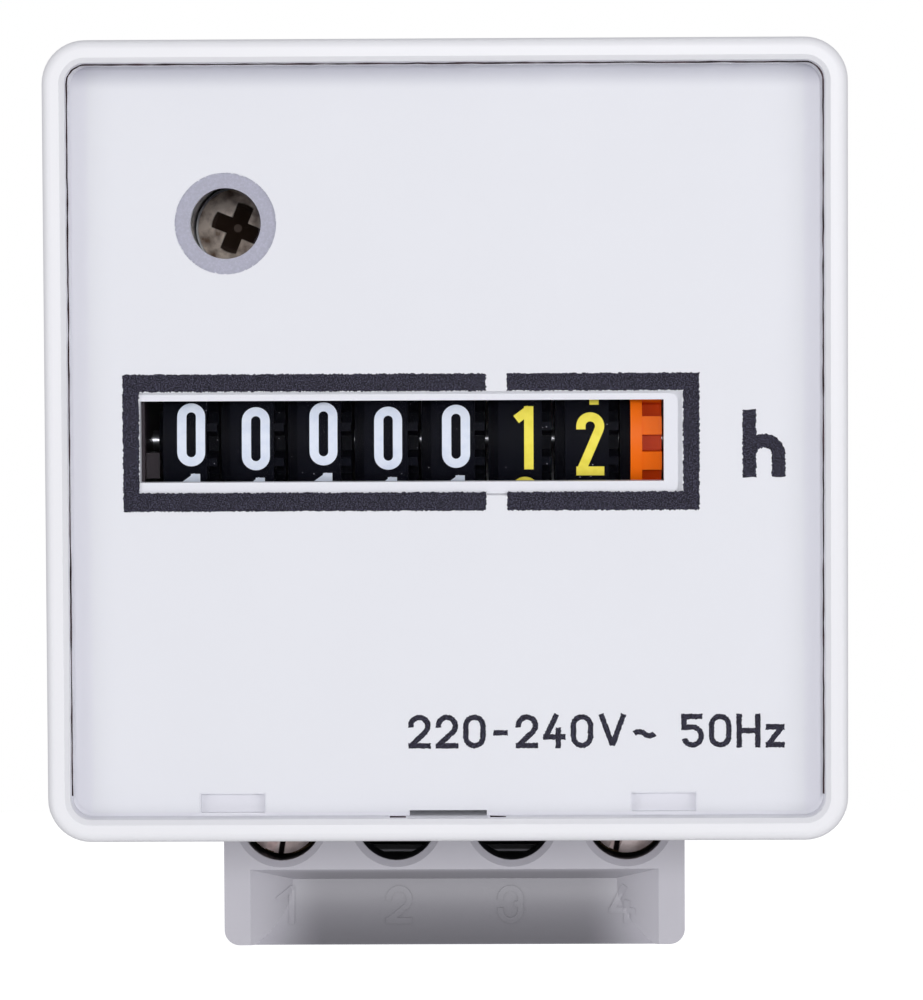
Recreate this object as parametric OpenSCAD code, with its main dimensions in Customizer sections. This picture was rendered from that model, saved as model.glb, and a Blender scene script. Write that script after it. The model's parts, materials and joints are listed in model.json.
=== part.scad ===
// Square hour meter, plugged onto a terminal base that screws to a wall or panel.
// X is to the right, Y goes into the wall and Z is up, so the front faces -Y.
// The origin is the middle of the wall face, level with the centre of the bezel.

/* [Bezel and housing] */
// Side of the square bezel
bezel_w = 48; // [47.6:0.1:49]
// Depth of the bezel from its front to its back edge
bezel_depth = 5.5; // [5:0.1:7]
// Corner radius of the bezel seen from the front
bezel_corner_r = 2.6; // [2.2:0.1:3.5]
// Width of the rim around the window
rim_w = 1.35; // [1.2:0.05:1.5]
// Rounding of the rim's outer front edge
rim_edge_r = 0.55; // [0.2:0.05:0.7]
// Bevel on the rim's inner front edge
rim_bevel = 0.3; // [0.1:0.05:0.5]
// Side of the square box behind the bezel
body_w = 44.8; // [44.4:0.1:45.2]
// Corner radius of the box
body_corner_r = 1.6; // [1:0.1:2.4]
// Wall of the box
body_wall = 1.6; // [1.2:0.1:1.8]
// Depth of the meter, from the bezel's front to its back face on the base
meter_depth = 27; // [26.8:0.1:30]
// Outer plate of the rear cover
cover_t = 1.2; // [0.8:0.1:1.6]
// Spigot of the rear cover inside the box
cover_spigot_t = 0.8; // [0.5:0.1:1]

/* [Window and dial] */
// Thickness of the clear window
window_t = 1.6; // [1.2:0.1:1.8]
// How far the window sits behind the front of the rim
window_recess = 0.4; // [0.2:0.05:0.6]
// Gap around the window inside the rim
window_gap = 0.1; // [0.05:0.01:0.15]
// Distance from the window's back to the ledge that the dial lies on
window_skirt_h = 0.25; // [0.2:0.01:0.4]
// Thickness of the printed dial sheet
dial_t = 0.15; // [0.1:0.01:0.18]
// Width of the low step round the window's back
skirt_w = 1.1; // [0.8:0.05:1.3]
// Width of the dial's opening for the counter
dial_open_w = 32.7; // [32:0.1:33]
// Height of the dial's opening for the counter
dial_open_h = 6.25; // [5.8:0.05:6.6]
// Radius of the driver hole in the window
driver_hole_r = 2.1; // [1.9:0.05:2.3]
// Radius of the unprinted ring around the driver hole
driver_ring_r = 3.05; // [2.7:0.05:3.3]
// Width of each window lug
lug_w = 3.8; // [3:0.1:5]
// Thickness of each window lug
lug_t = 1.1; // [0.8:0.05:1.2]
// Length of each window lug behind the window
lug_l = 0.6; // [0.4:0.05:1]
// Distance of each lug from the middle of the window
lug_x = 13; // [10:0.5:16]
// Width of the pry notch in the window's lower edge
pry_w = 4.65; // [3.5:0.05:6]
// Height of the pry notch
pry_h = 0.22; // [0.1:0.02:0.4]

/* [Counter] */
// Radius of the number drums
drum_r = 6.9; // [6.7:0.05:7]
// Spacing of the number drums along their shaft
drum_pitch = 4.05; // [4.02:0.01:4.08]
// Width of the printed face of a drum
drum_face_w = 2.64; // [2.6:0.01:2.68]
// Thickness of a drum's rim
drum_rim_t = 1.7; // [1.5:0.1:2.2]
// Width of the gear on the right side of a drum
drum_gear_w = 0.6; // [0.55:0.01:0.62]
// Middle of the first drum's face
first_drum_x = -15.84; // [-15.9:0.02:-15.8]
// Height of the drum shaft
drum_z = -0.3; // [-0.6:0.1:0]
// Running gap between the drums and the carrier plate
drum_gap = 0.3; // [0.2:0.05:0.5]
// Width of the running indicator wheel
run_wheel_w = 1.89; // [1.7:0.01:1.95]
// Plain band on the running indicator's left edge
run_band_w = 0.7; // [0.4:0.05:0.9]
// Radius of the drum shaft and of the carry pinions' shaft
counter_shaft_r = 0.6; // [0.5:0.05:0.65]
// Width of the counter opening in the carrier
counter_open_w = 31.5; // [31.4:0.05:31.8]
// Height of the counter opening in the carrier
counter_open_h = 4.9; // [4.4:0.1:5.2]

/* [Carrier] */
// Thickness of the carrier's front plate
plate_t = 1; // [0.8:0.1:1.4]
// Height of the collar around the counter opening
collar_h = 0.2; // [0.15:0.01:0.3]
// Width of the collar's left and right bars
collar_side_w = 0.83; // [0.6:0.05:1]
// Width of the collar's top bar
collar_top_w = 0.39; // [0.3:0.02:0.5]
// Width of the collar's bottom bar
collar_bottom_w = 0.72; // [0.5:0.02:0.8]
// Thickness of the cheeks that carry the shafts
cheek_t = 1; // [0.8:0.1:1.1]
// Thickness of the plate outside the gear train
gear_plate_t = 1.2; // [0.8:0.1:1.3]
// Radius of the posts that hold the gear plate
post_r = 1; // [0.8:0.1:1.2]

/* [Gear train and motor] */
// Tooth module of the gear train
train_module = 0.2; // [0.19:0.005:0.2]
// Thickness of the train wheels
wheel_t = 0.8; // [0.6:0.05:0.9]
// Radius of the fixed pins that the train wheels turn on
train_pin_r = 0.3; // [0.25:0.01:0.32]
// Radius of the motor's shaft
motor_shaft_r = 0.4; // [0.35:0.01:0.45]
// Radius of the motor's can
motor_r = 7; // [6.6:0.1:7.1]
// Length of the motor
motor_l = 14; // [12:0.5:16]
// Sheet thickness of the motor's can and cover
can_t = 0.5; // [0.4:0.05:0.6]
// Radius of the magnet
magnet_r = 2.8; // [2.4:0.1:2.9]
// Thickness of the claw poles
claw_t = 0.5; // [0.4:0.05:0.55]

/* [Fixing screw] */
// Left offset of the screw from the middle of the dial
screw_x = -13.2; // [-14:0.1:-12.8]
// Height of the screw above the middle of the dial
screw_z = 12.76; // [12.6:0.1:13.7]
// Height of the driver hole's centre above the screw's
driver_hole_rise = 0.3; // [0:0.05:0.3]
// Radius of the screw's head
screw_head_r = 2.45; // [2.3:0.05:2.5]
// Height of the screw's head
screw_head_h = 1.9; // [1.6:0.1:2.2]
// Radius of the screw's shank
screw_r = 1.25; // [1:0.05:1.3]
// Depth of the head's seat behind the window's front face
screw_seat_depth = 15.6; // [13:0.1:17]

/* [Terminal base] */
// Depth of the base, from the wall to the meter
base_depth = 15; // [14.6:0.1:18]
// Width of the base behind the meter
base_w = 42; // [41.6:0.2:44]
// Height of the base above the centre of the bezel
base_top = 21; // [20:0.5:22]
// Wall of the base
base_wall = 1.6; // [1.2:0.1:2]
// Thickness of the deck that the meter sits on
deck_t = 1.8; // [1.4:0.1:2.2]
// Thickness of the base's back cover
base_cover_t = 1.2; // [0.8:0.1:1.4]
// Width of the terminal block
block_w = 30; // [29:0.5:32]
// Depth of the terminal block below the centre of the bezel
block_bottom = 33.95; // [33.5:0.05:35]
// How far the terminal block stands in front of the deck
block_step = 1; // [0.5:0.1:1.5]
// Spacing of the terminals
terminal_pitch = 7.5; // [7.3:0.1:7.6]
// Distance of the terminal screws below the centre of the bezel
terminal_z = 25.8; // [25.6:0.1:26]
// Radius of the driver holes over the terminal screws
terminal_hole_r = 2.65; // [2.5:0.05:2.7]
// Side of the square wire entries
wire_entry = 3.8; // [3:0.1:3.9]
// Distance of the number recess's upper edge below the bezel's centre
recess_z = 29; // [29:0.1:29.5]
// Depth of the number recess
recess_depth = 1.9; // [1.5:0.1:2.2]
// Distance between the two wall screws
wall_screw_spacing = 32; // [31:0.5:33]
// Radius of the wall screw holes
wall_screw_r = 2.15; // [1.8:0.05:2.4]

/* [Hidden] */
$fn = 64;

// Clearances, each named for the fit it gives
slip = 0.1;
running = 0.05;
fixed = 0.01;
cut = 0.5;

// Planes along Y, from the bezel's front to the wall
y_front = -(base_depth + meter_depth);
y_bezel_back = y_front + bezel_depth;
y_window = y_front + window_recess;
y_window_back = y_window + window_t;
y_ledge = y_window_back + window_skirt_h;
y_plate = y_ledge + collar_h;
driver_z = screw_z + driver_hole_rise;
y_plate_back = y_plate + plate_t;
y_back = -base_depth;
y_cover = y_back - cover_t;
y_inside = y_cover - cover_spigot_t;
y_seat = y_window + screw_seat_depth;
y_block = y_back - block_step;

// Squares seen from the front
opening_w = bezel_w - 2 * rim_w;
window_w = opening_w - 2 * window_gap;
dial_w = window_w - 2 * slip;
inside_w = body_w - 2 * body_wall;
carrier_w = min(inside_w, opening_w) - 2 * slip;
ledge_w = bezel_w - rim_w;
window_corner_r = bezel_corner_r - rim_w - window_gap;

// Counter: the drum axis as [y, z], and the places along it
digits_shown = [0, 0, 0, 0, 0, 1, 2];
digit_angle = 36;
drum_axis = [y_plate_back + drum_gap + drum_r, drum_z];
function drum_x(i) = first_drum_x + i * drum_pitch;
face_half = drum_face_w / 2;
last_gear_x = drum_x(6) + face_half + drum_gear_w;
run_gap = 0.71;
run_x = last_gear_x + run_gap;
run_end = run_x + run_wheel_w;
counter_x = run_end + 0.08 - counter_open_w / 2;
dial_open_x = counter_x + 0.5;
dial_open_z = drum_z + 0.1;
collar_z = (collar_top_w - collar_bottom_w) / 2;
counter_z = drum_z + 0.25;
cheek_x = run_end + 0.52;
left_cheek_x = counter_x - counter_open_w / 2 - cheek_t + 0.2;
bracket_drop = 9;
rib_w = 0.8;
rib_h = 1.55;
rib_t = 1.6;
rib_drop = 0.5;

// Carry gearing: every drum has a 20-tooth gear, and an 8-tooth pinion behind it
drum_teeth = 20;
pinion_teeth = 8;
carry_module = drum_r / 11;
gear_tip_r = drum_r - 0.15;
gear_root_r = carry_module * drum_teeth / 2 - 1.6;
pinion_tip_r = carry_module * pinion_teeth / 2 + 0.49;
pinion_root_r = carry_module * pinion_teeth / 2 - 0.62;
carry_distance = carry_module * (drum_teeth + pinion_teeth) / 2;
carry_angle = 36;
pinion_axis = drum_axis + carry_distance * [cos(carry_angle), sin(carry_angle)];
lock_w = 0.6;
lock_r = carry_distance - pinion_tip_r - 0.3;
lock_ring_t = 0.9;
carry_tooth_t = 0.45;
// The carry teeth and the half of the pinion that they turn are shorter than the gear's teeth, and at rest a
// drum stands a little past its digit's middle, so that the teeth have left the pinion
carry_tip_r = gear_tip_r - 0.35;
carry_pinion_tip_r = pinion_tip_r - 0.3;
carry_lead = 5;
hub_r = 1.8;

// Gear train from the motor to the drum shaft, 6 x 7.5 x 8 = 360 to 1
rotor_teeth = 10;
leaf_teeth = 8;
first_teeth = 60;
second_teeth = 60;
final_teeth = 64;
final_angle = -10;
second_angle = -127;
motor_angle = -59;
second_axis = drum_axis + train_module * (final_teeth + leaf_teeth) / 2 * unit(final_angle);
first_axis = second_axis + train_module * (second_teeth + leaf_teeth) / 2 * unit(second_angle);
motor_axis = first_axis + train_module * (first_teeth + rotor_teeth) / 2 * unit(motor_angle);
layer_pitch = 1.4;
layer_t = 1.1;
layer_gap = 0.3;
gear_plate_x = cheek_x + cheek_t + 3 * layer_pitch + layer_gap;
function unit(a) = [cos(a), sin(a)];
function layer_x(n) = cheek_x + cheek_t + layer_gap + (n - 1) * layer_pitch;

// Posts between the right cheek and the gear plate, as [y, z]
cheek_top = drum_z + 9.5;
cheek_bottom = motor_axis[1] - motor_r + 0.8;
posts = [
    [y_inside - 2.6, motor_axis[1] - 4.6],
    [drum_axis[0] - 4.1, first_axis[1] - 4.6],
    [y_inside - 3.4, cheek_top - 1.7]
];

// Motor along X, with its open end on the right cheek
motor_x = cheek_x - motor_l;
claw_r = magnet_r + 0.2;
sleeve_r = claw_r + claw_t + 0.2;
sleeve_t = 0.4;
bobbin_r = motor_r - can_t - 0.2;
flange_t = 0.6;
bobbin_x = [motor_x + can_t + 0.2, cheek_x - can_t - 0.2];
magnet_x = [bobbin_x[0] + 1.6, bobbin_x[1] - 1.6];
claw_count = 6;
claw_angle = 24;

// Plug blades, one in line with each flange of the bobbin
blade_t = flange_t;
blade_w = 2;
blade_x = [bobbin_x[0] + flange_t / 2, bobbin_x[1] - flange_t / 2];
blade_z = motor_axis[1];
blade_y = [motor_axis[0] + bobbin_r + 0.05, y_back + 6.5];

// Base: the block joins the deck just under the meter's box
block_top = body_w / 2 + 0.3;
terminals = [-1.5, -0.5, 0.5, 1.5] * terminal_pitch;
fitted = [0, 3];
clamp_w = 5.2;
clamp_h = 5.2;
clamp_y = [y_back + 2.8, y_back + 8.8];
wire_y = clamp_y[1] - 2.4;
wire_r = 1.5;
clamp_screw_r = 1.25;
strip_t = 0.8;
strip_w = 3;
strip_y = clamp_y[1];
leaf_t = 0.4;
terminal_head_r = 2.35;
terminal_head_h = 2.6;
terminal_sink = 0.4;
wall_screw_z = 2;
wall_post_r = wall_screw_r + 1.8;
insert_r = 2;
insert_l = 7;
insert_boss_r = 3.4;
recess_w = block_w - 3.4;
recess_side_run = 2.7;
recess_top_run = 0.85;
scoop_z = -recess_z - recess_top_run;
scoop_h = block_bottom + 0.2 + scoop_z;
scoop_r = (recess_depth * recess_depth + scoop_h * scoop_h) / (2 * recess_depth);

plastic_white = "#eceef2";
plastic_grey = "#b7b6be";
plastic_black = "#15151d";
signal_orange = "#f17821";
brass = "#c8a450";
steel = "#b9bcc2";
copper = "#b06a3a";

// Extrudes an outline seen from the front between two planes along Y
module slab(front, back) {
    translate([0, back, 0]) rotate([90, 0, 0]) linear_extrude(back - front) children();
}

// Extrudes an outline in Y and Z along X, about an axis given as [y, z]
module along_x(axis, left, right) {
    translate([left, axis[0], axis[1]]) rotate([90, 0, 90]) linear_extrude(right - left) children();
}

module rounded(w, h, r) {
    square([w - 2 * r, h], center = true);
    square([w, h - 2 * r], center = true);
    for (x = [-1, 1], y = [-1, 1])
        translate([x * (w / 2 - r), y * (h / 2 - r)]) circle(r);
}

// A disc with a hole, for bushes, rims and shafts
module ring(outer, inner) {
    difference() {
        circle(outer);
        circle(inner);
    }
}

// Sweeps a section round a square; the section's x is measured from the corners' centres
module swept_square(side, corner) {
    half = side / 2 - corner;
    for (turn = [0:90:270]) rotate(turn) {
        translate([half, half]) rotate_extrude(angle = 90) children();
        translate([half, half]) rotate([90, 0, 0]) linear_extrude(2 * half) children();
    }
}

// Straight-sided teeth with play on both flanks; phase is the angle of the first tooth
module gear(teeth, root_r, tip_r, root_t, tip_t, phase) {
    root_a = asin(root_t / 2 / root_r);
    tip_a = asin(tip_t / 2 / tip_r);
    flanks = [[root_r, -root_a], [tip_r, -tip_a], [tip_r, tip_a], [root_r, root_a]];
    polygon([
        for (i = [0:teeth - 1], p = flanks) p[0] * unit(phase + i * 360 / teeth + p[1])
    ]);
}

// A wheel or pinion of the train, sized by its module
module train_gear(teeth, phase) {
    pitch_r = train_module * teeth / 2;
    gear(teeth, pitch_r - 1.2 * train_module, pitch_r + 0.8 * train_module,
        1.6 * train_module, 0.55 * train_module, phase);
}

// A phase that puts a tooth on the line of centres, and one that puts a gap there
function tooth_at(angle) = angle;
function gap_at(angle, teeth) = angle + 180 + 180 / teeth;

// Section of the bezel's band, from its back edge to the rounded and bevelled rim
module band_section() {
    inner = bezel_corner_r - rim_w;
    difference() {
        translate([inner, 0]) square([rim_w, bezel_depth]);
        translate([bezel_corner_r - rim_edge_r, bezel_depth - rim_edge_r]) difference() {
            square(2 * rim_edge_r);
            circle(rim_edge_r);
        }
        translate([inner, bezel_depth]) rotate(45) square(rim_bevel * sqrt(2), center = true);
    }
}

module lug_outline(play) {
    for (side = [-1, 1])
        translate([side * lug_x - lug_w / 2 - play, -window_w / 2 + slip - play])
            square([lug_w + 2 * play, lug_t + 2 * play]);
}

module pry_outline() {
    translate([-pry_w / 2, -window_w / 2 - window_gap]) square([pry_w, pry_h + window_gap]);
}

// Bezel and box in one moulding, open at the front for the window and at the back for the cover
module housing() {
    color(plastic_white) difference() {
        union() {
            translate([0, y_bezel_back, 0]) rotate([90, 0, 0])
                swept_square(bezel_w, bezel_corner_r) band_section();
            slab(y_ledge, y_bezel_back) difference() {
                rounded(ledge_w, ledge_w, bezel_corner_r - rim_w / 2);
                square(inside_w, center = true);
            }
            slab(y_bezel_back, y_cover) difference() {
                rounded(body_w, body_w, body_corner_r);
                square(inside_w, center = true);
            }
        }
        slab(y_ledge - cut, y_ledge + lug_l - window_skirt_h + slip) lug_outline(fixed);
        slab(y_ledge - cut, y_bezel_back - 0.5) pry_outline();
    }
}

// Clear cover: a flat pane on a low skirt, with two lugs along its lower edge
module window() {
    color([0.9, 0.92, 0.95, 0.35]) difference() {
        union() {
            slab(y_window, y_window_back) rounded(window_w, window_w, window_corner_r);
            slab(y_window_back, y_ledge - dial_t - running) difference() {
                rounded(window_w, window_w, window_corner_r);
                square(window_w - 2 * skirt_w, center = true);
            }
            slab(y_window_back, y_window_back + lug_l) lug_outline(0);
        }
        slab(y_window - cut, y_ledge + cut) pry_outline();
        slab(y_window - cut, y_ledge) translate([screw_x, driver_z]) circle(driver_hole_r);
    }
}

// Printed sheet between the window and the carrier
module dial() {
    color(plastic_white) slab(y_ledge - dial_t, y_ledge) difference() {
        rounded(dial_w, dial_w, window_corner_r);
        translate([screw_x, driver_z]) circle(driver_ring_r);
        translate([dial_open_x, dial_open_z]) rounded(dial_open_w, dial_open_h, 0.2);
        lug_outline(slip);
        pry_outline();
    }
}

module counter_opening() {
    translate([counter_x, counter_z]) square([counter_open_w, counter_open_h], center = true);
}

// Right cheek, with the bearings of both counter shafts and of the gear train
module right_cheek() {
    along_x([0, 0], cheek_x, cheek_x + cheek_t) difference() {
        translate([y_plate_back, cheek_bottom])
            square([y_inside - y_plate_back, cheek_top - cheek_bottom]);
        translate(drum_axis) circle(counter_shaft_r + running);
        translate(pinion_axis) circle(counter_shaft_r + fixed);
        translate(first_axis) circle(train_pin_r + fixed);
        translate(second_axis) circle(train_pin_r + fixed);
        translate(motor_axis) circle(motor_shaft_r + 0.6);
    }
}

// Dark end plate on the left of the counter, with a stop rib beside the first drum
module counter_bracket() {
    inner_x = left_cheek_x + cheek_t;
    color(plastic_black) {
        along_x([0, 0], left_cheek_x, inner_x) difference() {
            translate([y_plate_back, drum_z - bracket_drop])
                square([y_inside - y_plate_back, cheek_top - drum_z + bracket_drop]);
            translate(drum_axis) circle(counter_shaft_r + running);
            translate(pinion_axis) circle(counter_shaft_r + fixed);
        }
        along_x([y_plate_back + 1.2, drum_z - rib_drop - rib_h], inner_x, inner_x + rib_w)
            square([rib_t, rib_h]);
    }
}

// White moulding behind the dial: front plate, counter collar, screw tube, right cheek and posts
module carrier() {
    tube_r = screw_head_r + 1.15;
    bore_r = screw_head_r + 0.3;
    color(plastic_white) {
        difference() {
            union() {
                slab(y_plate, y_plate_back) square(carrier_w, center = true);
                slab(y_ledge, y_plate) translate([counter_x, counter_z + collar_z])
                    rounded(counter_open_w + 2 * collar_side_w,
                        counter_open_h + collar_top_w + collar_bottom_w, 0.5);
                slab(y_ledge, y_plate) translate([screw_x, driver_z]) circle(tube_r);
                slab(y_plate_back, y_inside - 2) translate([screw_x, screw_z]) circle(tube_r);
            }
            slab(y_ledge - cut, y_plate_back + cut) counter_opening();
            slab(y_ledge - cut, y_plate_back) translate([screw_x, driver_z])
                circle(driver_hole_r + running);
            slab(y_plate_back, y_inside) translate([screw_x, screw_z]) circle(bore_r);
        }
        right_cheek();
        for (p = posts) {
            along_x(p, cheek_x + cheek_t, gear_plate_x) circle(post_r);
            along_x(p, gear_plate_x, gear_plate_x + gear_plate_t) circle(post_r * 0.6);
        }
    }
}

// Outer bearing plate of the gear train, staked on the carrier's posts
module gear_plate() {
    low = [posts[1][0] - 2, posts[0][1] - 2];
    high = [posts[0][0] + 1.9, posts[2][1] + 1.6];
    color(brass) along_x([0, 0], gear_plate_x, gear_plate_x + gear_plate_t) difference() {
        translate((low + high) / 2) rounded(high[0] - low[0], high[1] - low[1], 1.2);
        for (p = posts) translate(p) circle(post_r * 0.6 + fixed);
        translate(first_axis) circle(train_pin_r + fixed);
        translate(second_axis) circle(train_pin_r + fixed);
        translate(motor_axis) circle(motor_shaft_r + running);
    }
}

module drum_shaft() {
    color(steel) along_x(drum_axis, left_cheek_x + 0.1, layer_x(1) + layer_t) circle(counter_shaft_r);
}

module pinion_shaft() {
    color(steel) along_x(pinion_axis, left_cheek_x, cheek_x + cheek_t) circle(counter_shaft_r);
}

// Two teeth on the left of a drum that step the next drum on as 9 passes to 0
module carry_teeth(left, digit) {
    inner_r = lock_r - lock_ring_t / 2;
    tooth_l = carry_tip_r - inner_r;
    half_pitch = 180 / drum_teeth;
    along_x(drum_axis, left - lock_w, left)
        for (side = [-1, 1])
            rotate(carry_angle + (9.5 - digit) * digit_angle - carry_lead + side * half_pitch)
                translate([inner_r, -carry_tooth_t / 2]) square([tooth_l, carry_tooth_t]);
}

// Left flank of a drum: locking ring and carry teeth
module lock_side(left, digit) {
    along_x(drum_axis, left - lock_w, left) ring(lock_r, lock_r - lock_ring_t);
    carry_teeth(left, digit);
}

module number_drum(i) {
    left = drum_x(i) - face_half;
    right = drum_x(i) + face_half;
    bore = counter_shaft_r + running;
    color(plastic_black) {
        along_x(drum_axis, left, right) ring(drum_r, drum_r - drum_rim_t);
        along_x(drum_axis, right, right + drum_gear_w) difference() {
            gear(drum_teeth, gear_root_r, gear_tip_r, 0.6, 0.5, 180 / drum_teeth);
            circle(bore);
        }
        along_x(drum_axis, left - lock_w, right) ring(hub_r, bore);
        if (i > 0) lock_side(left, digits_shown[i]);
    }
}

// Idler behind a drum: eight teeth for the drum's own gear, four for the next lower drum
module carry_pinion(i) {
    gear_left = drum_x(i) + face_half + 0.06;
    gear_right = drum_x(i) + face_half + drum_gear_w - 0.02;
    right = drum_x(i) + face_half + drum_gear_w + run_gap - 0.08;
    left = right - drum_pitch + running;
    bore = counter_shaft_r + running;
    facing = carry_angle + 180;
    color(plastic_white) {
        along_x(pinion_axis, left, gear_left) ring(2 * counter_shaft_r, bore);
        along_x(pinion_axis, gear_left, gear_right) difference() {
            gear(pinion_teeth, pinion_root_r, pinion_tip_r, 0.9, 0.4, facing);
            circle(bore);
        }
        along_x(pinion_axis, gear_right, right) difference() {
            gear(pinion_teeth / 2, pinion_root_r, carry_pinion_tip_r, 0.9, 0.4, facing + 360 / pinion_teeth);
            circle(bore);
        }
    }
}

// Notched orange wheel that turns once in 36 seconds while the meter runs
module run_indicator() {
    color(signal_orange) {
        along_x(drum_axis, run_x, run_x + run_band_w) ring(drum_r, drum_r - drum_rim_t);
        along_x(drum_axis, run_x + run_band_w, run_end) difference() {
            gear(drum_teeth, drum_r - 0.8, drum_r - running, 1.05, 1.11, 180 / drum_teeth);
            circle(counter_shaft_r + fixed);
        }
        along_x(drum_axis, run_x, run_x + run_band_w) ring(hub_r, counter_shaft_r + fixed);
    }
}

// Dark flange beside the indicator, whose two teeth carry the last drum on
module drive_flange() {
    color(plastic_black) {
        along_x(drum_axis, run_x - lock_w, run_x) ring(lock_r, counter_shaft_r + fixed);
        carry_teeth(run_x, 4);
    }
}

module final_wheel() {
    color(brass) along_x(drum_axis, layer_x(1) + 0.1, layer_x(1) + 0.1 + wheel_t) difference() {
        train_gear(final_teeth, gap_at(final_angle + 180, final_teeth));
        circle(counter_shaft_r + fixed);
    }
}

// A wheel of the train with the pinion that drives the next one, turning on a fixed pin
module train_wheel(axis, wheel_layer, teeth, wheel_phase, pinion_phase) {
    pinion_x = layer_x(wheel_layer - 1);
    wheel_x = layer_x(wheel_layer) + 0.1;
    bore = train_pin_r + running;
    along_x(axis, pinion_x, wheel_x) difference() {
        train_gear(leaf_teeth, pinion_phase);
        circle(bore);
    }
    along_x(axis, wheel_x, wheel_x + wheel_t) difference() {
        train_gear(teeth, wheel_phase);
        circle(bore);
    }
}

module second_wheel() {
    color(brass) train_wheel(second_axis, 2, second_teeth,
        gap_at(second_angle + 180, second_teeth), tooth_at(final_angle + 180));
}

module first_wheel() {
    color(plastic_white) train_wheel(first_axis, 3, first_teeth,
        gap_at(motor_angle + 180, first_teeth), tooth_at(second_angle + 180));
}

module train_pins() {
    color(steel)
        for (axis = [first_axis, second_axis])
            along_x(axis, cheek_x, gear_plate_x + gear_plate_t) circle(train_pin_r);
}

// Fingers of a claw pole, bent along the rotor from one end plate of the motor
module claws(left, right, turn) {
    for (i = [0:claw_count - 1])
        along_x(motor_axis, left, right) rotate(turn + i * 360 / claw_count) intersection() {
            ring(claw_r + claw_t, claw_r);
            polygon([[0, 0], 2 * motor_r * unit(-claw_angle / 2), 2 * motor_r * unit(claw_angle / 2)]);
        }
}

// Slots in the can for the plug blades' inner ends
module blade_slots(play) {
    for (x = blade_x)
        translate([x - blade_t / 2 - play, motor_axis[0] + bobbin_r - 0.4, blade_z - blade_w / 2 - play])
            cube([blade_t + 2 * play, motor_r, blade_w + 2 * play]);
}

module motor_can() {
    color(steel) difference() {
        union() {
            along_x(motor_axis, motor_x, cheek_x) ring(motor_r, motor_r - can_t);
            along_x(motor_axis, motor_x, motor_x + can_t) ring(motor_r, motor_shaft_r + running);
            claws(motor_x + can_t, magnet_x[1], 0);
        }
        blade_slots(0.2);
    }
}

module motor_cover() {
    color(steel) {
        along_x(motor_axis, cheek_x - can_t, cheek_x) ring(motor_r - can_t - fixed, motor_shaft_r + running);
        claws(magnet_x[0], cheek_x - can_t, 180 / claw_count);
    }
}

module coil_bobbin() {
    color("#e9e4d6") {
        along_x(motor_axis, bobbin_x[0], bobbin_x[1]) ring(sleeve_r + sleeve_t, sleeve_r);
        for (x = [bobbin_x[0], bobbin_x[1] - flange_t])
            along_x(motor_axis, x, x + flange_t) ring(bobbin_r, sleeve_r);
    }
}

module coil_winding() {
    color(copper)
        along_x(motor_axis, bobbin_x[0] + flange_t, bobbin_x[1] - flange_t)
            ring(bobbin_r - 0.3, sleeve_r + sleeve_t);
}

module rotor_magnet() {
    color("#3a3a3e") along_x(motor_axis, magnet_x[0], magnet_x[1]) ring(magnet_r, motor_shaft_r + fixed);
}

module rotor_shaft() {
    color(steel) {
        along_x(motor_axis, motor_x, gear_plate_x + gear_plate_t) circle(motor_shaft_r);
        along_x(motor_axis, layer_x(3), layer_x(3) + layer_t)
            train_gear(rotor_teeth, tooth_at(motor_angle + 180));
    }
}

// Back of the meter, with the boss that the fixing screw's head bears on
module rear_cover() {
    boss_r = screw_head_r + 0.3 - slip;
    color(plastic_white) difference() {
        union() {
            slab(y_cover, y_back) rounded(body_w, body_w, body_corner_r);
            slab(y_inside, y_cover) square(inside_w - 2 * slip, center = true);
            slab(y_seat, y_inside) translate([screw_x, screw_z]) circle(boss_r);
        }
        slab(y_seat - cut, y_back + cut) translate([screw_x, screw_z]) circle(screw_r + 0.2);
        for (x = blade_x)
            slab(y_inside - cut, y_back + cut) translate([x, blade_z])
                square([blade_t + 2 * fixed, blade_w + 2 * fixed], center = true);
    }
}

// Blades that carry the supply from the base to the coil
module plug_blades() {
    color(brass)
        for (x = blade_x)
            slab(blade_y[0], blade_y[1]) translate([x, blade_z]) square([blade_t, blade_w], center = true);
}

// Section of a domed screw head, with its seat at zero
module head_section(r, h) {
    dome_r = 1.6 * r;
    intersection() {
        square([r, h]);
        translate([0, h - dome_r]) circle(dome_r);
    }
}

// Captive screw that holds the meter on its base
module fixing_screw() {
    cross_w = 1.05;
    cross_l = 1.3 * screw_head_r;
    cross_depth = 0.7 * screw_head_h;
    cross_tip_r = 0.25;
    cross_slope = (cross_l / 2 - cross_tip_r) / cross_depth;
    color(steel) translate([screw_x, y_seat, screw_z]) rotate([90, 0, 0]) {
        difference() {
            rotate_extrude() head_section(screw_head_r, screw_head_h);
            intersection() {
                for (turn = [-22, 68])
                    rotate(turn) translate([0, 0, screw_head_h])
                        cube([3 * screw_head_r, cross_w, 3 * cross_depth], center = true);
                translate([0, 0, screw_head_h - cross_depth])
                    cylinder(h = cross_depth + cut, r1 = cross_tip_r, r2 = cross_l / 2 + cross_slope * cut);
            }
        }
        mirror([0, 0, 1]) cylinder(h = y_back + insert_l - 1.5 - y_seat, r = screw_r);
    }
}

// The base's outline behind the meter and round the terminals, set in by an inset
module base_outline(inset) {
    main_h = base_top + block_top;
    translate([0, (base_top - block_top) / 2])
        rounded(base_w - 2 * inset, main_h - 2 * inset, 2 - inset / 2);
    translate([0, -block_bottom / 2]) rounded(block_w - 2 * inset, block_bottom - 2 * inset, 1);
}

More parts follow.
